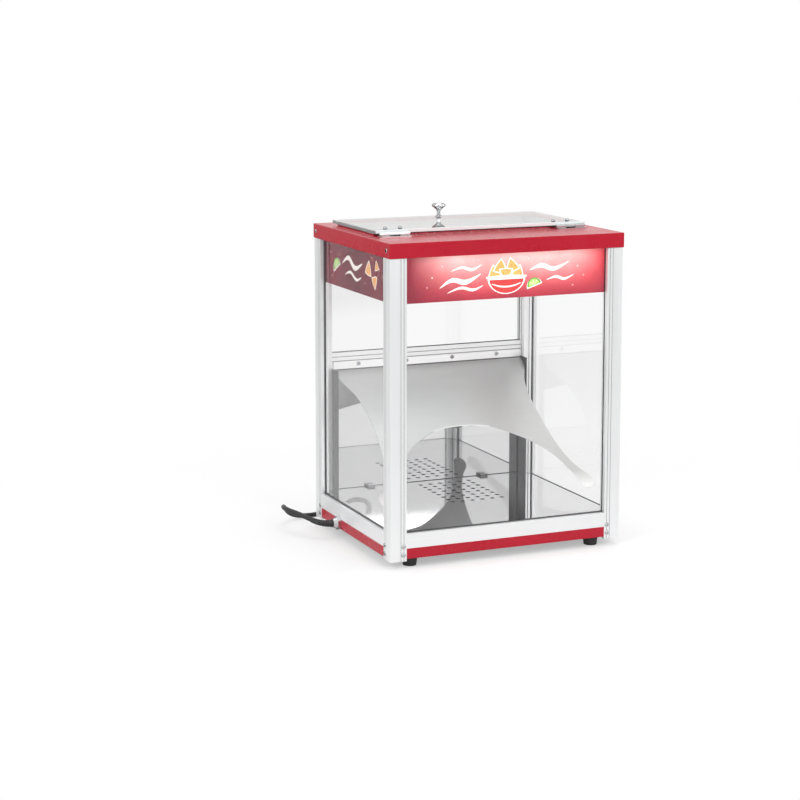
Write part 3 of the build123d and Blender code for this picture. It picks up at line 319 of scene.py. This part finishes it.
def ground_edge_glass():
    """Clear lid glass whose ground edges are frosted and a little green."""
    look = Look("ground_edge_glass", (0.90, 0.915, 0.91), 0.0, IOR=1.45)
    edge = look.edges("Z")
    look.vary_color(edge, (0.80, 0.865, 0.85), (0.28, 0.33, 0.32))
    look.feed("Roughness", look.ramp(edge, 0.004, 0.55))
    look.feed("Transmission Weight", look.ramp(edge, 1.0, 0.25))
    look.let_lamps_through()
    return look.material


def mirror_steel(name, tint, marks_axis, faces_axis, edge_grey):
    """Polished sheet with hairline wiping marks and rough sheared edges."""
    look = Look(name, tint, 0.03, metallic=1.0)
    edge = look.edges(faces_axis)
    face = look.blend(look.noise(6.0), tint, shade(tint, 0.94))
    look.vary_color(edge, face, grey(edge_grey))
    marks = look.lines(marks_axis, along=8.0, across=900.0, detail=5.0)
    polish = look.ramp(marks, 0.012, 0.045, start=0.3, end=0.7)
    look.feed("Roughness", look.math("MAXIMUM", polish, look.times(edge, 0.6)))
    return look.material


def brushed(look, axis):
    """Grain along one axis, and the same grain broken up by soft clouds."""
    grain = look.lines(axis, along=12.0, across=1100.0, detail=5.0)
    return grain, look.times(grain, look.noise(5.0, detail=2.0))


def satin_steel(name, tint, grain_axis, low, high, metallic=1.0):
    """Brushed sheet; low and high are the limits of its roughness."""
    look = Look(name, tint, 0.35, metallic)
    grain, clouded = brushed(look, grain_axis)
    look.vary_color(clouded, tint, shade(tint, 0.86))
    look.vary_roughness(grain, low, high)
    look.bump(grain, distance=0.00003, strength=0.35)
    return look.material


def deflector_sheet():
    """Brushed sheet with painted light: painted highlights on the tips and flange, painted shade in
    the crease, on the top edge and towards the top, and painted light and shade beneath.
    """
    look = Look("deflector_steel", grey(0.50), 0.38, metallic=0.75,
                Specular_Tint=(0.55, 0.55, 0.55, 1.0))
    height = look.share("Z")
    crease_height, half_crease = 0.930, 0.005
    off_crease = look.math("ABSOLUTE", look.math("SUBTRACT", height, crease_height))
    # painted shade: darker towards the top; beneath, painted light makes it lighter towards the top
    rise = look.ramp(height, 0.0, 1.0, start=0.35, end=0.95)
    beneath_painted_light = look.ramp(height, 0.0, 1.0, start=0.15, end=0.75)
    color = look.blend(rise, grey(0.60), grey(0.43))
    # painted light: highlights on the tips and flange, shade in the crease and on the top edge,
    # light and shade beneath
    for mask, shown in (
        (look.ramp(height, 1.0, 0.0, start=0.02, end=0.13), grey(0.97)),        # tips
        (look.math("LESS_THAN", off_crease, half_crease), grey(0.12)),
        (look.math("LESS_THAN", look.facing("Y"), -0.95), grey(0.93)),          # flange
        (look.math("LESS_THAN", look.facing("Z"), -0.2),                        # beneath
         look.blend(beneath_painted_light, grey(0.36), grey(0.70))),
        (look.math("GREATER_THAN", look.facing("Z"), 0.95), grey(0.08)),        # top edge
    ):
        color = look.blend(mask, color, shown)
    grain, clouded = brushed(look, "x")
    worn = look.node("ShaderNodeVectorMath", operation="SCALE")
    look.link(color, worn.inputs[0])
    look.link(look.ramp(clouded, 1.04, 0.92, start=0.1, end=0.5), worn.inputs["Scale"])
    look.feed("Base Color", worn.outputs["Vector"])
    look.vary_roughness(grain, 0.32, 0.44)
    look.bump(grain, distance=0.00003, strength=0.35)
    return look.material


def edge_strip():
    """Bright trim along the lid's front edge; its foot is painted black as the shadow of the gap
    below it, and a faint cyan tint is painted in against the red light cast up from the cover.
    """
    look = Look("lid_trim", (0.90, 0.90, 0.905), 0.34)
    # painted shadow of the gap under the trim
    painted_gap_shadow = look.math("LESS_THAN", look.share("Z"), 0.28)
    lines = look.lines("x", along=5.0, across=420.0)
    # the cyan tint offsets the red light bounced up from the cover
    trim = look.blend(lines, (0.90, 0.97, 0.965), (0.86, 0.94, 0.935))
    look.vary_color(painted_gap_shadow, trim, (0.03, 0.03, 0.032))
    look.vary_roughness(look.noise(40.0), 0.28, 0.42)
    return look.material


def chrome():
    look = Look("bright_chrome", (0.70, 0.70, 0.715), 0.07, metallic=1.0)
    plain = look.blend(look.noise(60.0), (0.72, 0.72, 0.73), (0.60, 0.60, 0.615))
    # painted shade round the rim, where the metal turns from the eye
    look.outline(plain, (0.10, 0.10, 0.105))
    look.vary_roughness(look.noise(160.0), 0.05, 0.12)
    return look.material


def zinc():
    look = Look("zinc_plate", (0.42, 0.43, 0.44), 0.22, metallic=1.0)
    plain = look.blend(look.noise(300.0), (0.50, 0.51, 0.52), (0.30, 0.31, 0.33))
    # painted shade round the rim, where the metal turns from the eye
    look.outline(plain, (0.05, 0.05, 0.055))
    look.vary_roughness(look.noise(500.0), 0.14, 0.30)
    return look.material


# ---------------------------------------------------------------- plastics, lamp and panels
def polymer(name, color, low, high):
    """Rubber or moulded plastic with a fine grain; low and high limit its roughness."""
    look = Look(name, color, 0.5)
    look.vary_color(look.noise(40.0), color, tuple(part * 1.5 + 0.004 for part in color))
    look.vary_roughness(look.noise(90.0), low, high)
    look.bump(look.noise(1400.0, detail=2.0), distance=0.00008, strength=0.4)
    return look.material


def ceramic():
    look = Look("glazed_ceramic", (0.80, 0.79, 0.74), 0.3)
    look.vary_color(look.noise(120.0), (0.83, 0.82, 0.78), (0.76, 0.74, 0.69))
    look.vary_roughness(look.noise(200.0), 0.22, 0.4)
    return look.material


def glowing_lamp():
    white, warm = (0.95, 0.93, 0.88), (0.90, 0.87, 0.80)
    look = Look("lamp_glass", white, 0.4, Emission_Color=(1.0, 0.90, 0.76, 1.0),
                Emission_Strength=2.0)
    look.vary_color(look.noise(90.0), white, warm)
    return look.material


def ink(name, color, glow):
    """Ink on a lit panel: a little mottled, with its own share of the panel's glow."""
    look = Look(name, color, 0.45)
    look.glow(look.blend(look.noise(260.0), color, shade(color, 0.86)), glow)
    return look.material


def lit_panel():
    """Front panel with painted backlight: plum at its ends and lower corners, a painted glow of
    pale pink down from the top, the light of the lamp behind it; the whole panel glows.
    """
    look = Look("lit_panel", (0.25, 0.01, 0.05), 0.4, Specular_IOR_Level=0.0)
    plum, red, pink = (0.17, 0.012, 0.030), (0.90, 0.070, 0.09), (1.0, 0.66, 0.63)
    across = look.part(look.place(), "X")
    height = look.ramp(look.part(look.place(), "Z"), 0.0, 1.0, start=SIGN_BOTTOM, end=SIGN_TOP)
    mottle = look.times(look.ramp(look.noise(15.0, detail=6.0), 0.55, 1.45),
                        look.ramp(look.noise(70.0, detail=5.0), 0.80, 1.20))
    # painted light from the lamp behind the panel: the pink glow falls off downwards and to the
    # ends, and the red gives way to plum at the ends and the foot
    fall = look.math("POWER", height, 2.1)
    glow = look.times(look.ramp(across, 0.0, 1.0, start=-0.155, end=-0.085),
                      look.ramp(across, 1.0, 0.0, start=0.105, end=0.160), fall, mottle)
    ends = look.times(look.ramp(across, 0.0, 1.0, start=-0.175, end=-0.07),
                      look.ramp(across, 1.0, 0.0, start=0.14, end=0.21))
    rise = look.ramp(height, 0.22, 1.0)
    base = look.blend(look.times(ends, rise, mottle), plum, red)
    look.glow(look.blend(look.math("MINIMUM", glow, 1.0), base, pink), 0.55)
    return look.material


def dim_panel():
    """Side panels: dark plum with scattered pink and gold flecks, glowing faintly as painted light.
    """
    look = Look("dim_panel", (0.12, 0.006, 0.03), 0.4, Specular_IOR_Level=0.0)
    cloud = look.ramp(look.noise(14.0, detail=6.0), 0.0, 1.0, start=0.3, end=0.7)
    base = look.blend(cloud, (0.085, 0.002, 0.012), (0.20, 0.006, 0.026))
    cells = look.node("ShaderNodeTexVoronoi")
    cells.inputs["Scale"].default_value = 120.0
    look.link(look.place(), cells.inputs["Vector"])
    fleck = look.math("LESS_THAN", cells.outputs["Distance"], 0.14)
    chosen = look.math("GREATER_THAN", look.noise(60.0, detail=1.0), 0.60)
    gold, pink = (0.80, 0.35, 0.12), (0.75, 0.15, 0.28)
    tint = look.blend(look.noise(90.0, detail=0.0), gold, pink)
    look.glow(look.blend(look.times(fleck, chosen), base, tint), 0.25)
    return look.material


def dress_nodes():
    """Every solid gets its finish; the rubber and the seal's grey are handed on."""
    rubber = polymer("black_rubber", (0.012, 0.012, 0.013), low=0.45, high=0.65)
    seal = polymer("grey_seal", (0.10, 0.10, 0.105), low=0.5, high=0.7)
    looks = (
        (anodised("x"), "rail_front", "rail_rear", "upper_rails_long", "rear_crossbar"),
        (anodised("y"), "rail_left", "rail_right", "upper_rails_short"),
        (anodised("z"), "post_front_left", "post_front_right", "post_rear_left",
         "post_rear_right", "wire_duct"),
        (red_enamel(), "top_cover", "base_pan"),
        (clear_glass(), "glass_front", "glass_left", "glass_right", "glass_rear"),
        (ground_edge_glass(), "lid_glass"),
        (mirror_steel("floor_mirror", (0.80, 0.80, 0.805), marks_axis="x", faces_axis="Z",
                      edge_grey=0.06), "floor_plate"),
        (mirror_steel("door_mirror", (0.74, 0.74, 0.745), marks_axis="z", faces_axis="Y",
                      edge_grey=0.42), "rear_door"),
        (satin_steel("satin_steel", (0.66, 0.66, 0.665), "x", low=0.28, high=0.42),
         "lamp_guard", "door_hinge_fixed", "door_hinge_moving", "door_hinge_pin"),
        # painted shade: jambs and magnets get a dark grey for the shade inside the doorway
        (satin_steel("shaded_jamb_steel", (0.15, 0.15, 0.155), "z", low=0.25, high=0.40),
         "door_jambs", "door_magnets"),
        (satin_steel("heat_darkened_steel", (0.055, 0.050, 0.048), "x", low=0.40, high=0.55,
                     metallic=0.7), "heater_tray", "heater_element"),
        (deflector_sheet(), "deflector"),
        (edge_strip(), "lid_front_strip"),
        (chrome(), "lid_knob", "lid_hinge_moving", "lid_hinge_fixed", "lid_hinge_pins",
         "cable_gland", "frame_screws", "cover_screws"),
        (zinc(), "foot_screws", "deflector_screws", "lid_nuts", "lid_screws"),
        (lit_panel(), "sign_front"),
        (dim_panel(), "sign_left", "sign_right"),
        (rubber, "rubber_feet", "cord_boot", "coil_tie"),
        (seal, "lid_seal"),
        (polymer("black_plastic", (0.016, 0.016, 0.018), low=0.32, high=0.48), "plug",
         "switch_bodies", "rocker_warm", "thermostat"),
        (polymer("red_rocker", (0.42, 0.012, 0.012), low=0.25, high=0.4), "rocker_lamp"),
        (polymer("wire_insulation", (0.35, 0.34, 0.32), low=0.4, high=0.6), "wiring"),
        (ceramic(), "lamp_holder", "terminal_block"),
        (glowing_lamp(), "lamp_bulb"),
    )
    for material, *names in looks:
        for name in names:
            for holder in NODES[name].material_slots:
                holder.link = "OBJECT"
                holder.material = material
    return rubber, seal


# ---------------------------------------------------------------- dark beads for the shade round the panes
BOX_SIDES = ((0, 1, 3, 2), (4, 6, 7, 5), (0, 4, 5, 1), (2, 3, 7, 6), (0, 2, 6, 4), (1, 5, 7, 3))


def pane_gap_shade_beads(material):
    """Thin dark beads where the panes enter the rails and the posts, on the outside; they paint the
    shade in the gaps round the panes.
    """
    depth, width = 0.0014, 0.0010
    front, side = PANE_Y + HALF_PANE, PANE_X + HALF_PANE
    mesh = bmesh.new()

    def bead(*spans):
        """A box from its ends in X, Y and Z, in any order."""
        span_x, span_y, span_z = (sorted(span) for span in spans)
        corners = [mesh.verts.new((x, y, z)) for x in span_x for y in span_y for z in span_z]
        for box_side in BOX_SIDES:
            mesh.faces.new([corners[number] for number in box_side])

    for sign in (-1, 1):
        bottom = RAIL_TOP if sign < 0 else CROSSBAR_TOP
        out_y = (sign * front, sign * (front + depth))
        out_x = (sign * side, sign * (side + depth))
        bead((-POST_EDGE_X, POST_EDGE_X), out_y, (bottom, bottom + width))
        bead(out_x, (-POST_EDGE_Y, POST_EDGE_Y), (RAIL_TOP, RAIL_TOP + width))
        for end in (-1, 1):
            bead((end * POST_EDGE_X, end * (POST_EDGE_X - width)), out_y, (bottom, SIGN_TOP))
            bead(out_x, (end * POST_EDGE_Y, end * (POST_EDGE_Y - width)), (RAIL_TOP, SIGN_TOP))
    shade_beads = add_solid("pane_gap_shade_beads", mesh, material)
    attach(shade_beads, "cabinet")


# ---------------------------------------------------------------- print on the sign panels
# Drawn in millimetres: across from the panel's middle, up from its foot. A shape is its ink, its
# layer and its outline.
MM = 0.001
INK_STEP = 0.000018         # each layer of ink stands this far in front of the one below
INK_THICK = 0.000015
INKS = {
    "cream": (0.95, 0.88, 0.84), "gold": (0.90, 0.42, 0.10), "brown": (0.30, 0.07, 0.02),
    "red": (0.62, 0.02, 0.02), "green": (0.10, 0.34, 0.04), "lime": (0.45, 0.68, 0.14),
}
CURVE_STEPS = 6             # straight pieces between two points of a brush stroke
CHIP_STEPS = 5              # straight pieces along one side of a chip
THINNEST = 0.05             # half the width of a stroke's end


def heading(degrees):
    turn = math.radians(degrees)
    return Vector((math.cos(turn), math.sin(turn)))


def curve_through(points):
    """Smooth line through points, a Catmull-Rom curve."""
    line = []
    last = len(points) - 1
    for index in range(last):
        before = Vector(points[max(index - 1, 0)])
        start, stop = Vector(points[index]), Vector(points[index + 1])
        after = Vector(points[min(index + 2, last)])
        for step in range(CURVE_STEPS):
            t = step / CURVE_STEPS
            slope = (stop - before) * t
            square = (2 * before - 5 * start + 4 * stop - after) * t ** 2
            cube = (3 * start - before - 3 * stop + after) * t ** 3
            line.append(0.5 * (2 * start + slope + square + cube))
    line.append(Vector(points[-1]))
    return line


def ribbon(points, widths):
    """Outline of a brush stroke through points, its width running through widths."""
    line = curve_through(points)
    left, right = [], []
    last = len(line) - 1
    for index, point in enumerate(line):
        along = (line[min(index + 1, last)] - line[max(index - 1, 0)]).normalized()
        place = index / last * (len(widths) - 1)
        low = min(int(place), len(widths) - 2)
        half = 0.5 * (widths[low] + (widths[low + 1] - widths[low]) * (place - low))
        side = Vector((-along.y, along.x)) * max(half, THINNEST)
        left.append(point + side)
        right.append(point - side)
    return left + right[::-1]


def arc(centre, reach, start=0.0, stop=360.0, squash=1.0, count=28):
    """Points on an ellipse; a full turn closes on itself."""
    closed = stop - start >= 360.0
    steps = count if closed else count - 1
    points = []
    for index in range(count):
        turn = math.radians(start + (stop - start) * index / steps)
        points.append(Vector((centre[0] + reach * math.cos(turn),
                              centre[1] + reach * squash * math.sin(turn))))
    return points


def chip(centre, size, turn):
    """Tortilla chip: a triangle with gently bowed sides."""
    middle = Vector(centre)
    corners = [middle + size * heading(turn + 120 * corner) for corner in range(3)]
    points = []
    for start, stop in zip(corners, corners[1:] + corners[:1]):
        out = ((start + stop) / 2 - middle).normalized()
        for step in range(CHIP_STEPS):
            share = step / CHIP_STEPS
            bow = 0.10 * size * math.sin(math.pi * share)
            points.append(start.lerp(stop, share) + out * bow)
    return points


def chip_print(centre, size, turn, level=0):
    """A chip with its cream rim, its golden face and a few dark grains."""
    shapes = [("cream", level, chip(centre, size, turn)),
              ("gold", level + 1, chip(centre, size * 0.80, turn))]
    for reach, angle in ((0.10, 20.0), (0.36, 150.0), (0.34, 265.0)):
        spot = Vector(centre) + size * reach * heading(turn + angle)
        shapes.append(("brown", level + 2, arc(spot, size * 0.055, count=8)))
    return shapes


def lime_print(centre, size, turn):
    """A half slice of lime: cream rim, green peel, pale flesh and three dividing lines."""
    across = heading(turn)
    down = Vector((across.y, -across.x))

    def half_round(reach, drop):
        return [point + down * drop for point in arc(centre, reach, turn, turn + 180.0)]

    shapes = [("cream", 0, half_round(size, size * 0.14)),
              ("green", 1, half_round(size * 0.88, 0.0)),
              ("lime", 2, half_round(size * 0.68, -size * 0.06))]
    for angle in (45.0, 90.0, 135.0):
        tip = Vector(centre) + size * 0.66 * heading(turn + angle)
        start = Vector(centre).lerp(tip, 0.16)
        shapes.append(("cream", 3, ribbon([start, start.lerp(tip, 0.5), tip], [0.5, 0.8, 0.9])))
    return shapes


def sparkles(*places):
    """Dots, each given by its place and its radius."""
    return [("cream", 0, arc((x, y), radius, count=10)) for x, y, radius in places]


def strokes(*brushes):
    return [("cream", 0, ribbon(points, widths)) for points, widths in brushes]


def front_print():
    """A bowl of chips between two sets of brush strokes, a lime slice beside it."""
    shapes = []
    for centre, size, turn, level in (((-20, 38), 13.5, 98, 0), ((19, 37), 13.0, 76, 0),
                                      ((-10, 46), 14.0, 84, 2), ((9, 47), 14.0, 104, 2),
                                      ((-1, 37), 13.5, 270, 4)):
        shapes += chip_print(centre, size, turn, level)
    shapes.append(("cream", 6, arc((0, 31), 31, 180.0, 360.0, squash=0.80)))
    shapes.append(("red", 7, arc((0, 29.4), 28, 184.0, 356.0, squash=0.78)))
    shapes.append(("cream", 8, ribbon([(-24, 22), (-12, 18.2), (0, 17), (12, 18.2), (24, 22)],
                                      [1.0, 2.3, 2.6, 2.3, 1.0])))
    shapes.append(("cream", 6, ribbon([(-33, 31.6), (0, 32.4), (33, 31.6)], [2.9, 4.4, 2.9])))
    shapes += lime_print((46, 17), 13.0, 18.0)
    shapes += strokes(
        ([(-108, 20), (-88, 31), (-66, 27), (-42, 38)], [0.5, 6.5, 7.8, 0.8]),
        ([(-96, 12), (-74, 19), (-54, 15), (-38, 21)], [0.4, 3.9, 4.4, 0.5]),
        ([(-90, 44), (-72, 49), (-56, 45), (-40, 52)], [0.4, 4.2, 4.7, 0.5]),
        ([(38, 40), (58, 46), (78, 40), (104, 50)], [0.7, 7.0, 6.5, 0.5]),
        ([(66, 24), (82, 28), (96, 24), (112, 30)], [0.4, 4.4, 3.9, 0.4]),
    )
    shapes += sparkles((-120, 36, 1.1), (-128, 22, 0.8), (-104, 52, 0.9), (-46, 59, 0.8),
                       (36, 57, 0.9), (118, 42, 1.0), (128, 28, 0.8), (110, 14, 0.9),
                       (90, 58, 0.7))
    return shapes


def side_print():
    """A lime slice, one long brush stroke with a short one under it, and three chips."""
    shapes = lime_print((-78, 30), 16.0, 28.0)
    shapes += strokes(([(-56, 38), (-30, 49), (-4, 36), (26, 46)], [0.8, 7.3, 8.3, 1.0]),
                      ([(-44, 22), (-22, 28), (2, 19), (22, 25)], [0.5, 4.7, 4.9, 0.7]))
    for centre, size, turn in (((50, 40), 15.0, 80), ((74, 25), 13.0, 40), ((82, 48), 10.0, 105)):
        shapes += chip_print(centre, size, turn)
    shapes += sparkles((-104, 50, 1.0), (-98, 14, 0.8), (38, 18, 0.9), (104, 36, 1.0),
                       (60, 60, 0.8), (-60, 58, 0.9), (110, 16, 0.8))
    return shapes


def add_layer(mesh, outline, height, place):
    """One thin flat solid in front of the panel."""
    verts = [mesh.verts.new(place(point[0] * MM, point[1] * MM, height)) for point in outline]
    edges = [mesh.edges.new(ends) for ends in zip(verts, verts[1:] + verts[:1])]
    filled = bmesh.ops.triangle_fill(mesh, use_beauty=True, edges=edges)
    faces = [item for item in filled["geom"] if isinstance(item, bmesh.types.BMFace)]
    raised = bmesh.ops.extrude_face_region(mesh, geom=faces)
    moved = [item for item in raised["geom"] if isinstance(item, bmesh.types.BMVert)]
    bmesh.ops.translate(mesh, vec=place(0, 0, INK_THICK) - place(0, 0, 0), verts=moved)


def lay_print(name, shapes, place, inks):
    """Each ink of a panel becomes one piece; place gives the point for across, up and out."""
    for ink_name, material in inks.items():
        mesh = bmesh.new()
        for shape_ink, layer, outline in shapes:
            if shape_ink == ink_name:
                add_layer(mesh, outline, (layer + 1) * INK_STEP, place)
        print_piece = add_solid(f"{name}_{ink_name}", mesh, material)
        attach(print_piece, "cabinet")


def print_signs():
    """The same design on both sides, dimmer than the lit front."""
    bright = {name: ink(f"lit_ink_{name}", color, 0.45) for name, color in INKS.items()}
    dull = {name: ink(f"ink_{name}", color, 0.12) for name, color in INKS.items()
            if name != "red"}
    front_face = PANE_Y - HALF_PANE - SIGN_GAP
    side_face = PANE_X - HALF_PANE - SIGN_GAP
    lay_print("print_front", front_print(),
              lambda u, v, out: Vector((u, -front_face - out, SIGN_BOTTOM + v)), bright)
    lay_print("print_left", side_print(),
              lambda u, v, out: Vector((-side_face - out, -u, SIGN_BOTTOM + v)), dull)
    lay_print("print_right", side_print(),
              lambda u, v, out: Vector((side_face + out, u, SIGN_BOTTOM + v)), dull)


# ---------------------------------------------------------------- bend relief
GLAND = (-0.201, 0.052, 0.0236)         # the boot starts here
BOOT_BEND = 0.032
BOOT_TURN = math.radians(60.0)
BOOT_LIFT = math.radians(15.0)          # the plane of the bend is tipped up by this
BOOT_RADIUS = 0.0060
BOOT_TIP_RADIUS = 0.0042
RIBS = 9
GROOVE = 0.0008
COLLAR_END, TIP_START = 0.06, 0.97      # shares of the boot's length without grooves
RINGS, RING_CORNERS = 91, 32


def ribbed_boot(rubber):
    """Moulded relief round the cord: a collar, then ribs that get smaller along the bend."""
    mesh = bmesh.new()
    across = Vector((0, -math.sin(BOOT_LIFT), math.cos(BOOT_LIFT)))
    loops = []
    for ring in range(RINGS):
        share = ring / (RINGS - 1)
        turn = BOOT_TURN * share
        aside = BOOT_BEND * (1 - math.cos(turn))
        centre = Vector((GLAND[0] - BOOT_BEND * math.sin(turn),
                         GLAND[1] + aside * math.cos(BOOT_LIFT),
                         GLAND[2] + aside * math.sin(BOOT_LIFT)))
        along = Vector((-math.cos(turn), math.sin(turn) * math.cos(BOOT_LIFT),
                        math.sin(turn) * math.sin(BOOT_LIFT)))
        over = along.cross(across)
        radius = BOOT_RADIUS + share * (BOOT_TIP_RADIUS - BOOT_RADIUS)
        if COLLAR_END <= share <= TIP_START:
            wave = 0.5 + 0.5 * math.cos(2 * math.pi * RIBS * share)
            radius -= GROOVE * (1 - min(1.0, 1.7 * wave))
        angles = [2 * math.pi * corner / RING_CORNERS for corner in range(RING_CORNERS)]
        loops.append([mesh.verts.new(centre + radius * (math.cos(angle) * across
                                                        + math.sin(angle) * over))
                      for angle in angles])
    for low, high in zip(loops, loops[1:]):
        for corner in range(RING_CORNERS):
            after = (corner + 1) % RING_CORNERS
            wall = mesh.faces.new((low[corner], low[after], high[after], high[corner]))
            wall.smooth = True
    mesh.faces.new(loops[0][::-1])
    mesh.faces.new(loops[-1])
    boot = add_solid("ribbed_boot", mesh, rubber)
    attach(boot, "cabinet")
    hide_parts("cord_boot")


# ---------------------------------------------------------------- supply cord
CORD_RADIUS = 0.0038
CORD_EXIT = (-0.22871, 0.06745, 0.02774)
TABLE = CORD_RADIUS         # height of the cord's middle where it lies on the table
COIL = (0.020, 0.270)       # the coil's middle, in X and in Y
COIL_LEVEL = 0.0048         # height of the cord's middle in the lower layer
COIL_PITCH = 0.0082         # between two turns side by side, and between the two layers
COIL_RADIUS = 0.048
POINTS_PER_HALF = 6


def coil_points():
    """Control points of the coil: nine half turns, inwards below and outwards above."""
    inward = [COIL_RADIUS - index * COIL_PITCH / 2 for index in range(5)]
    radii = inward + inward[-2::-1]
    innermost = len(inward) - 1
    step = math.pi / POINTS_PER_HALF
    points = []
    offset, level = -COIL_RADIUS, COIL_LEVEL
    for index, radius in enumerate(radii):
        side = 1 if index % 2 == 0 else -1
        next_offset = offset + 2 * side * radius
        middle = COIL[1] + (offset + next_offset) / 2
        rise = COIL_PITCH if index == innermost else 0.0
        reach = radius / math.cos(step / 2)
        for place in range(POINTS_PER_HALF):
            turn = (place + 0.5) * step
            points.append((COIL[0] + side * reach * math.sin(turn),
                           middle - side * reach * math.cos(turn),
                           level + rise * (place + 0.5) / POINTS_PER_HALF))
        offset, level = next_offset, level + rise
    return points, (COIL[0] - 2 * CORD_RADIUS, COIL[1] + offset, level)


def supply_cord(rubber):
    """The lead and its coil as one line, in the same places as their solids."""
    turns, end = coil_points()
    route = [
        CORD_EXIT,
        (-0.24021, 0.08669, 0.0329),
        (-0.252, 0.128, 0.0338),
        (-0.242, 0.166, 0.0298),
        (-0.220, 0.186, 0.0058),
        (-0.180, 0.184, TABLE),
        (-0.145, 0.209, TABLE),
        (-0.096, 0.219, TABLE),
        (-0.040, 0.222, COIL_LEVEL),
        (0.0124, 0.222, COIL_LEVEL),
    ] + turns + [end]
    data = bpy.data.curves.new("supply_cord", "CURVE")
    data.dimensions = "3D"
    data.bevel_depth = CORD_RADIUS
    data.bevel_resolution = 6
    data.resolution_u = 10
    data.use_fill_caps = True
    spline = data.splines.new("NURBS")
    spline.points.add(len(route) - 1)
    for point, place in zip(spline.points, route):
        point.co = (*place, 1.0)
    spline.order_u = 3
    spline.use_endpoint_u = True
    data.materials.append(rubber)
    cord = add_object("supply_cord", data)
    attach(cord, "cabinet")
    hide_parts("cord_lead", "cord_coil")


# ---------------------------------------------------------------- studio
FLOOR_HALF = 12.0
LAMP_TARGET = (0, 0, 0.25)


def studio_floor():
    """Pale floor that keeps the shadows near the cabinet and fades into the white surround.

    In mirrors it is dimmer, most of all towards the front and in the far left corner.
    """
    mesh = bpy.data.meshes.new("studio_floor")
    corners = [(x * FLOOR_HALF, y * FLOOR_HALF, 0) for x, y in ((-1, -1), (1, -1), (1, 1), (-1, 1))]
    mesh.from_pydata(corners, [], [(0, 1, 2, 3)])
    floor = add_object("studio_floor", mesh)
    look = Look("studio_floor", grey(0.90), 0.9, Specular_IOR_Level=0.0)
    path = look.node("ShaderNodeLightPath").outputs
    across, depth = look.part(look.place(), "X"), look.part(look.place(), "Y")
    away = look.node("ShaderNodeVectorMath", operation="LENGTH")
    look.link(look.place(), away.inputs[0])
    far = look.ramp(away.outputs["Value"], 0.40, 1.0, start=0.22, end=0.85)
    seen = look.math("MAXIMUM", path["Is Camera Ray"], path["Is Transmission Ray"])
    seen = look.math("MAXIMUM", seen, path["Is Glossy Ray"])
    front = look.ramp(depth, 0.25, 0.62, start=-2.4, end=-0.9)
    corner = look.times(look.ramp(depth, 0.0, 0.94, start=1.9, end=2.5),
                        look.ramp(across, 1.0, 0.0, start=-0.9, end=-0.4),
                        look.ramp(depth, 1.0, 0.0, start=3.75, end=4.0))
    dim = look.math("MAXIMUM", look.math("SUBTRACT", 1.0, front), corner)
    dimmed = look.times(look.mirror_rays(path), dim)
    white = look.node("ShaderNodeEmission")
    look.link(look.math("SUBTRACT", 1.0, dimmed), white.inputs["Strength"])
    look.mix_surface(look.times(seen, far), white.outputs["Emission"])
    mesh.materials.append(look.material)


def studio_world():
    """White for the eye and through glass, softer as light, and in mirrors dimmer to the front."""
    world = bpy.data.worlds.new("studio")
    SCENE.world = world
    world.use_nodes = True
    nodes = Nodes(world.node_tree)
    background = world.node_tree.nodes["Background"]
    background.inputs["Color"].default_value = (1.0, 1.0, 1.0, 1.0)
    path = nodes.node("ShaderNodeLightPath").outputs
    side = nodes.ramp(nodes.coordinate("Generated", "Y"), 0.80, 1.0, start=-0.95, end=-0.15)
    above = nodes.ramp(nodes.coordinate("Generated", "Z"), 0.0, 1.0, start=0.35, end=0.85)
    mirrored = nodes.math("MAXIMUM", side, above)
    seen = nodes.math("MAXIMUM", path["Is Camera Ray"], path["Is Transmission Ray"])
    plain = nodes.ramp(seen, 0.60, 1.0)
    mirror = nodes.mirror_rays(path)
    strength = nodes.math("ADD", nodes.times(mirror, mirrored),
                          nodes.times(plain, nodes.math("SUBTRACT", 1.0, mirror)))
    nodes.link(strength, background.inputs["Strength"])


def studio_lamps():
    """Four large soft lamps, all turned towards the middle of the cabinet."""
    for name, place, width, watts in (
        ("key_lamp", (-3.0, -1.3, 1.9), 1.8, 50.0),
        ("front_lamp", (0.7, -3.2, 1.9), 1.8, 33.0),
        ("right_lamp", (3.0, -0.9, 1.7), 1.8, 30.0),
        ("top_lamp", (0.2, 0.6, 3.0), 2.0, 26.0),
    ):
        data = bpy.data.lights.new(name, "AREA")
        data.size = width
        data.energy = watts
        lamp = add_object(name, data)
        lamp.location = place
        towards = Vector(LAMP_TARGET) - Vector(place)
        lamp.rotation_euler = towards.to_track_quat("-Z", "Y").to_euler()


make_camera()
black_rubber, grey_seal = dress_nodes()
pane_gap_shade_beads(grey_seal)
print_signs()
ribbed_boot(black_rubber)
supply_cord(black_rubber)
studio_floor()
studio_world()
studio_lamps()
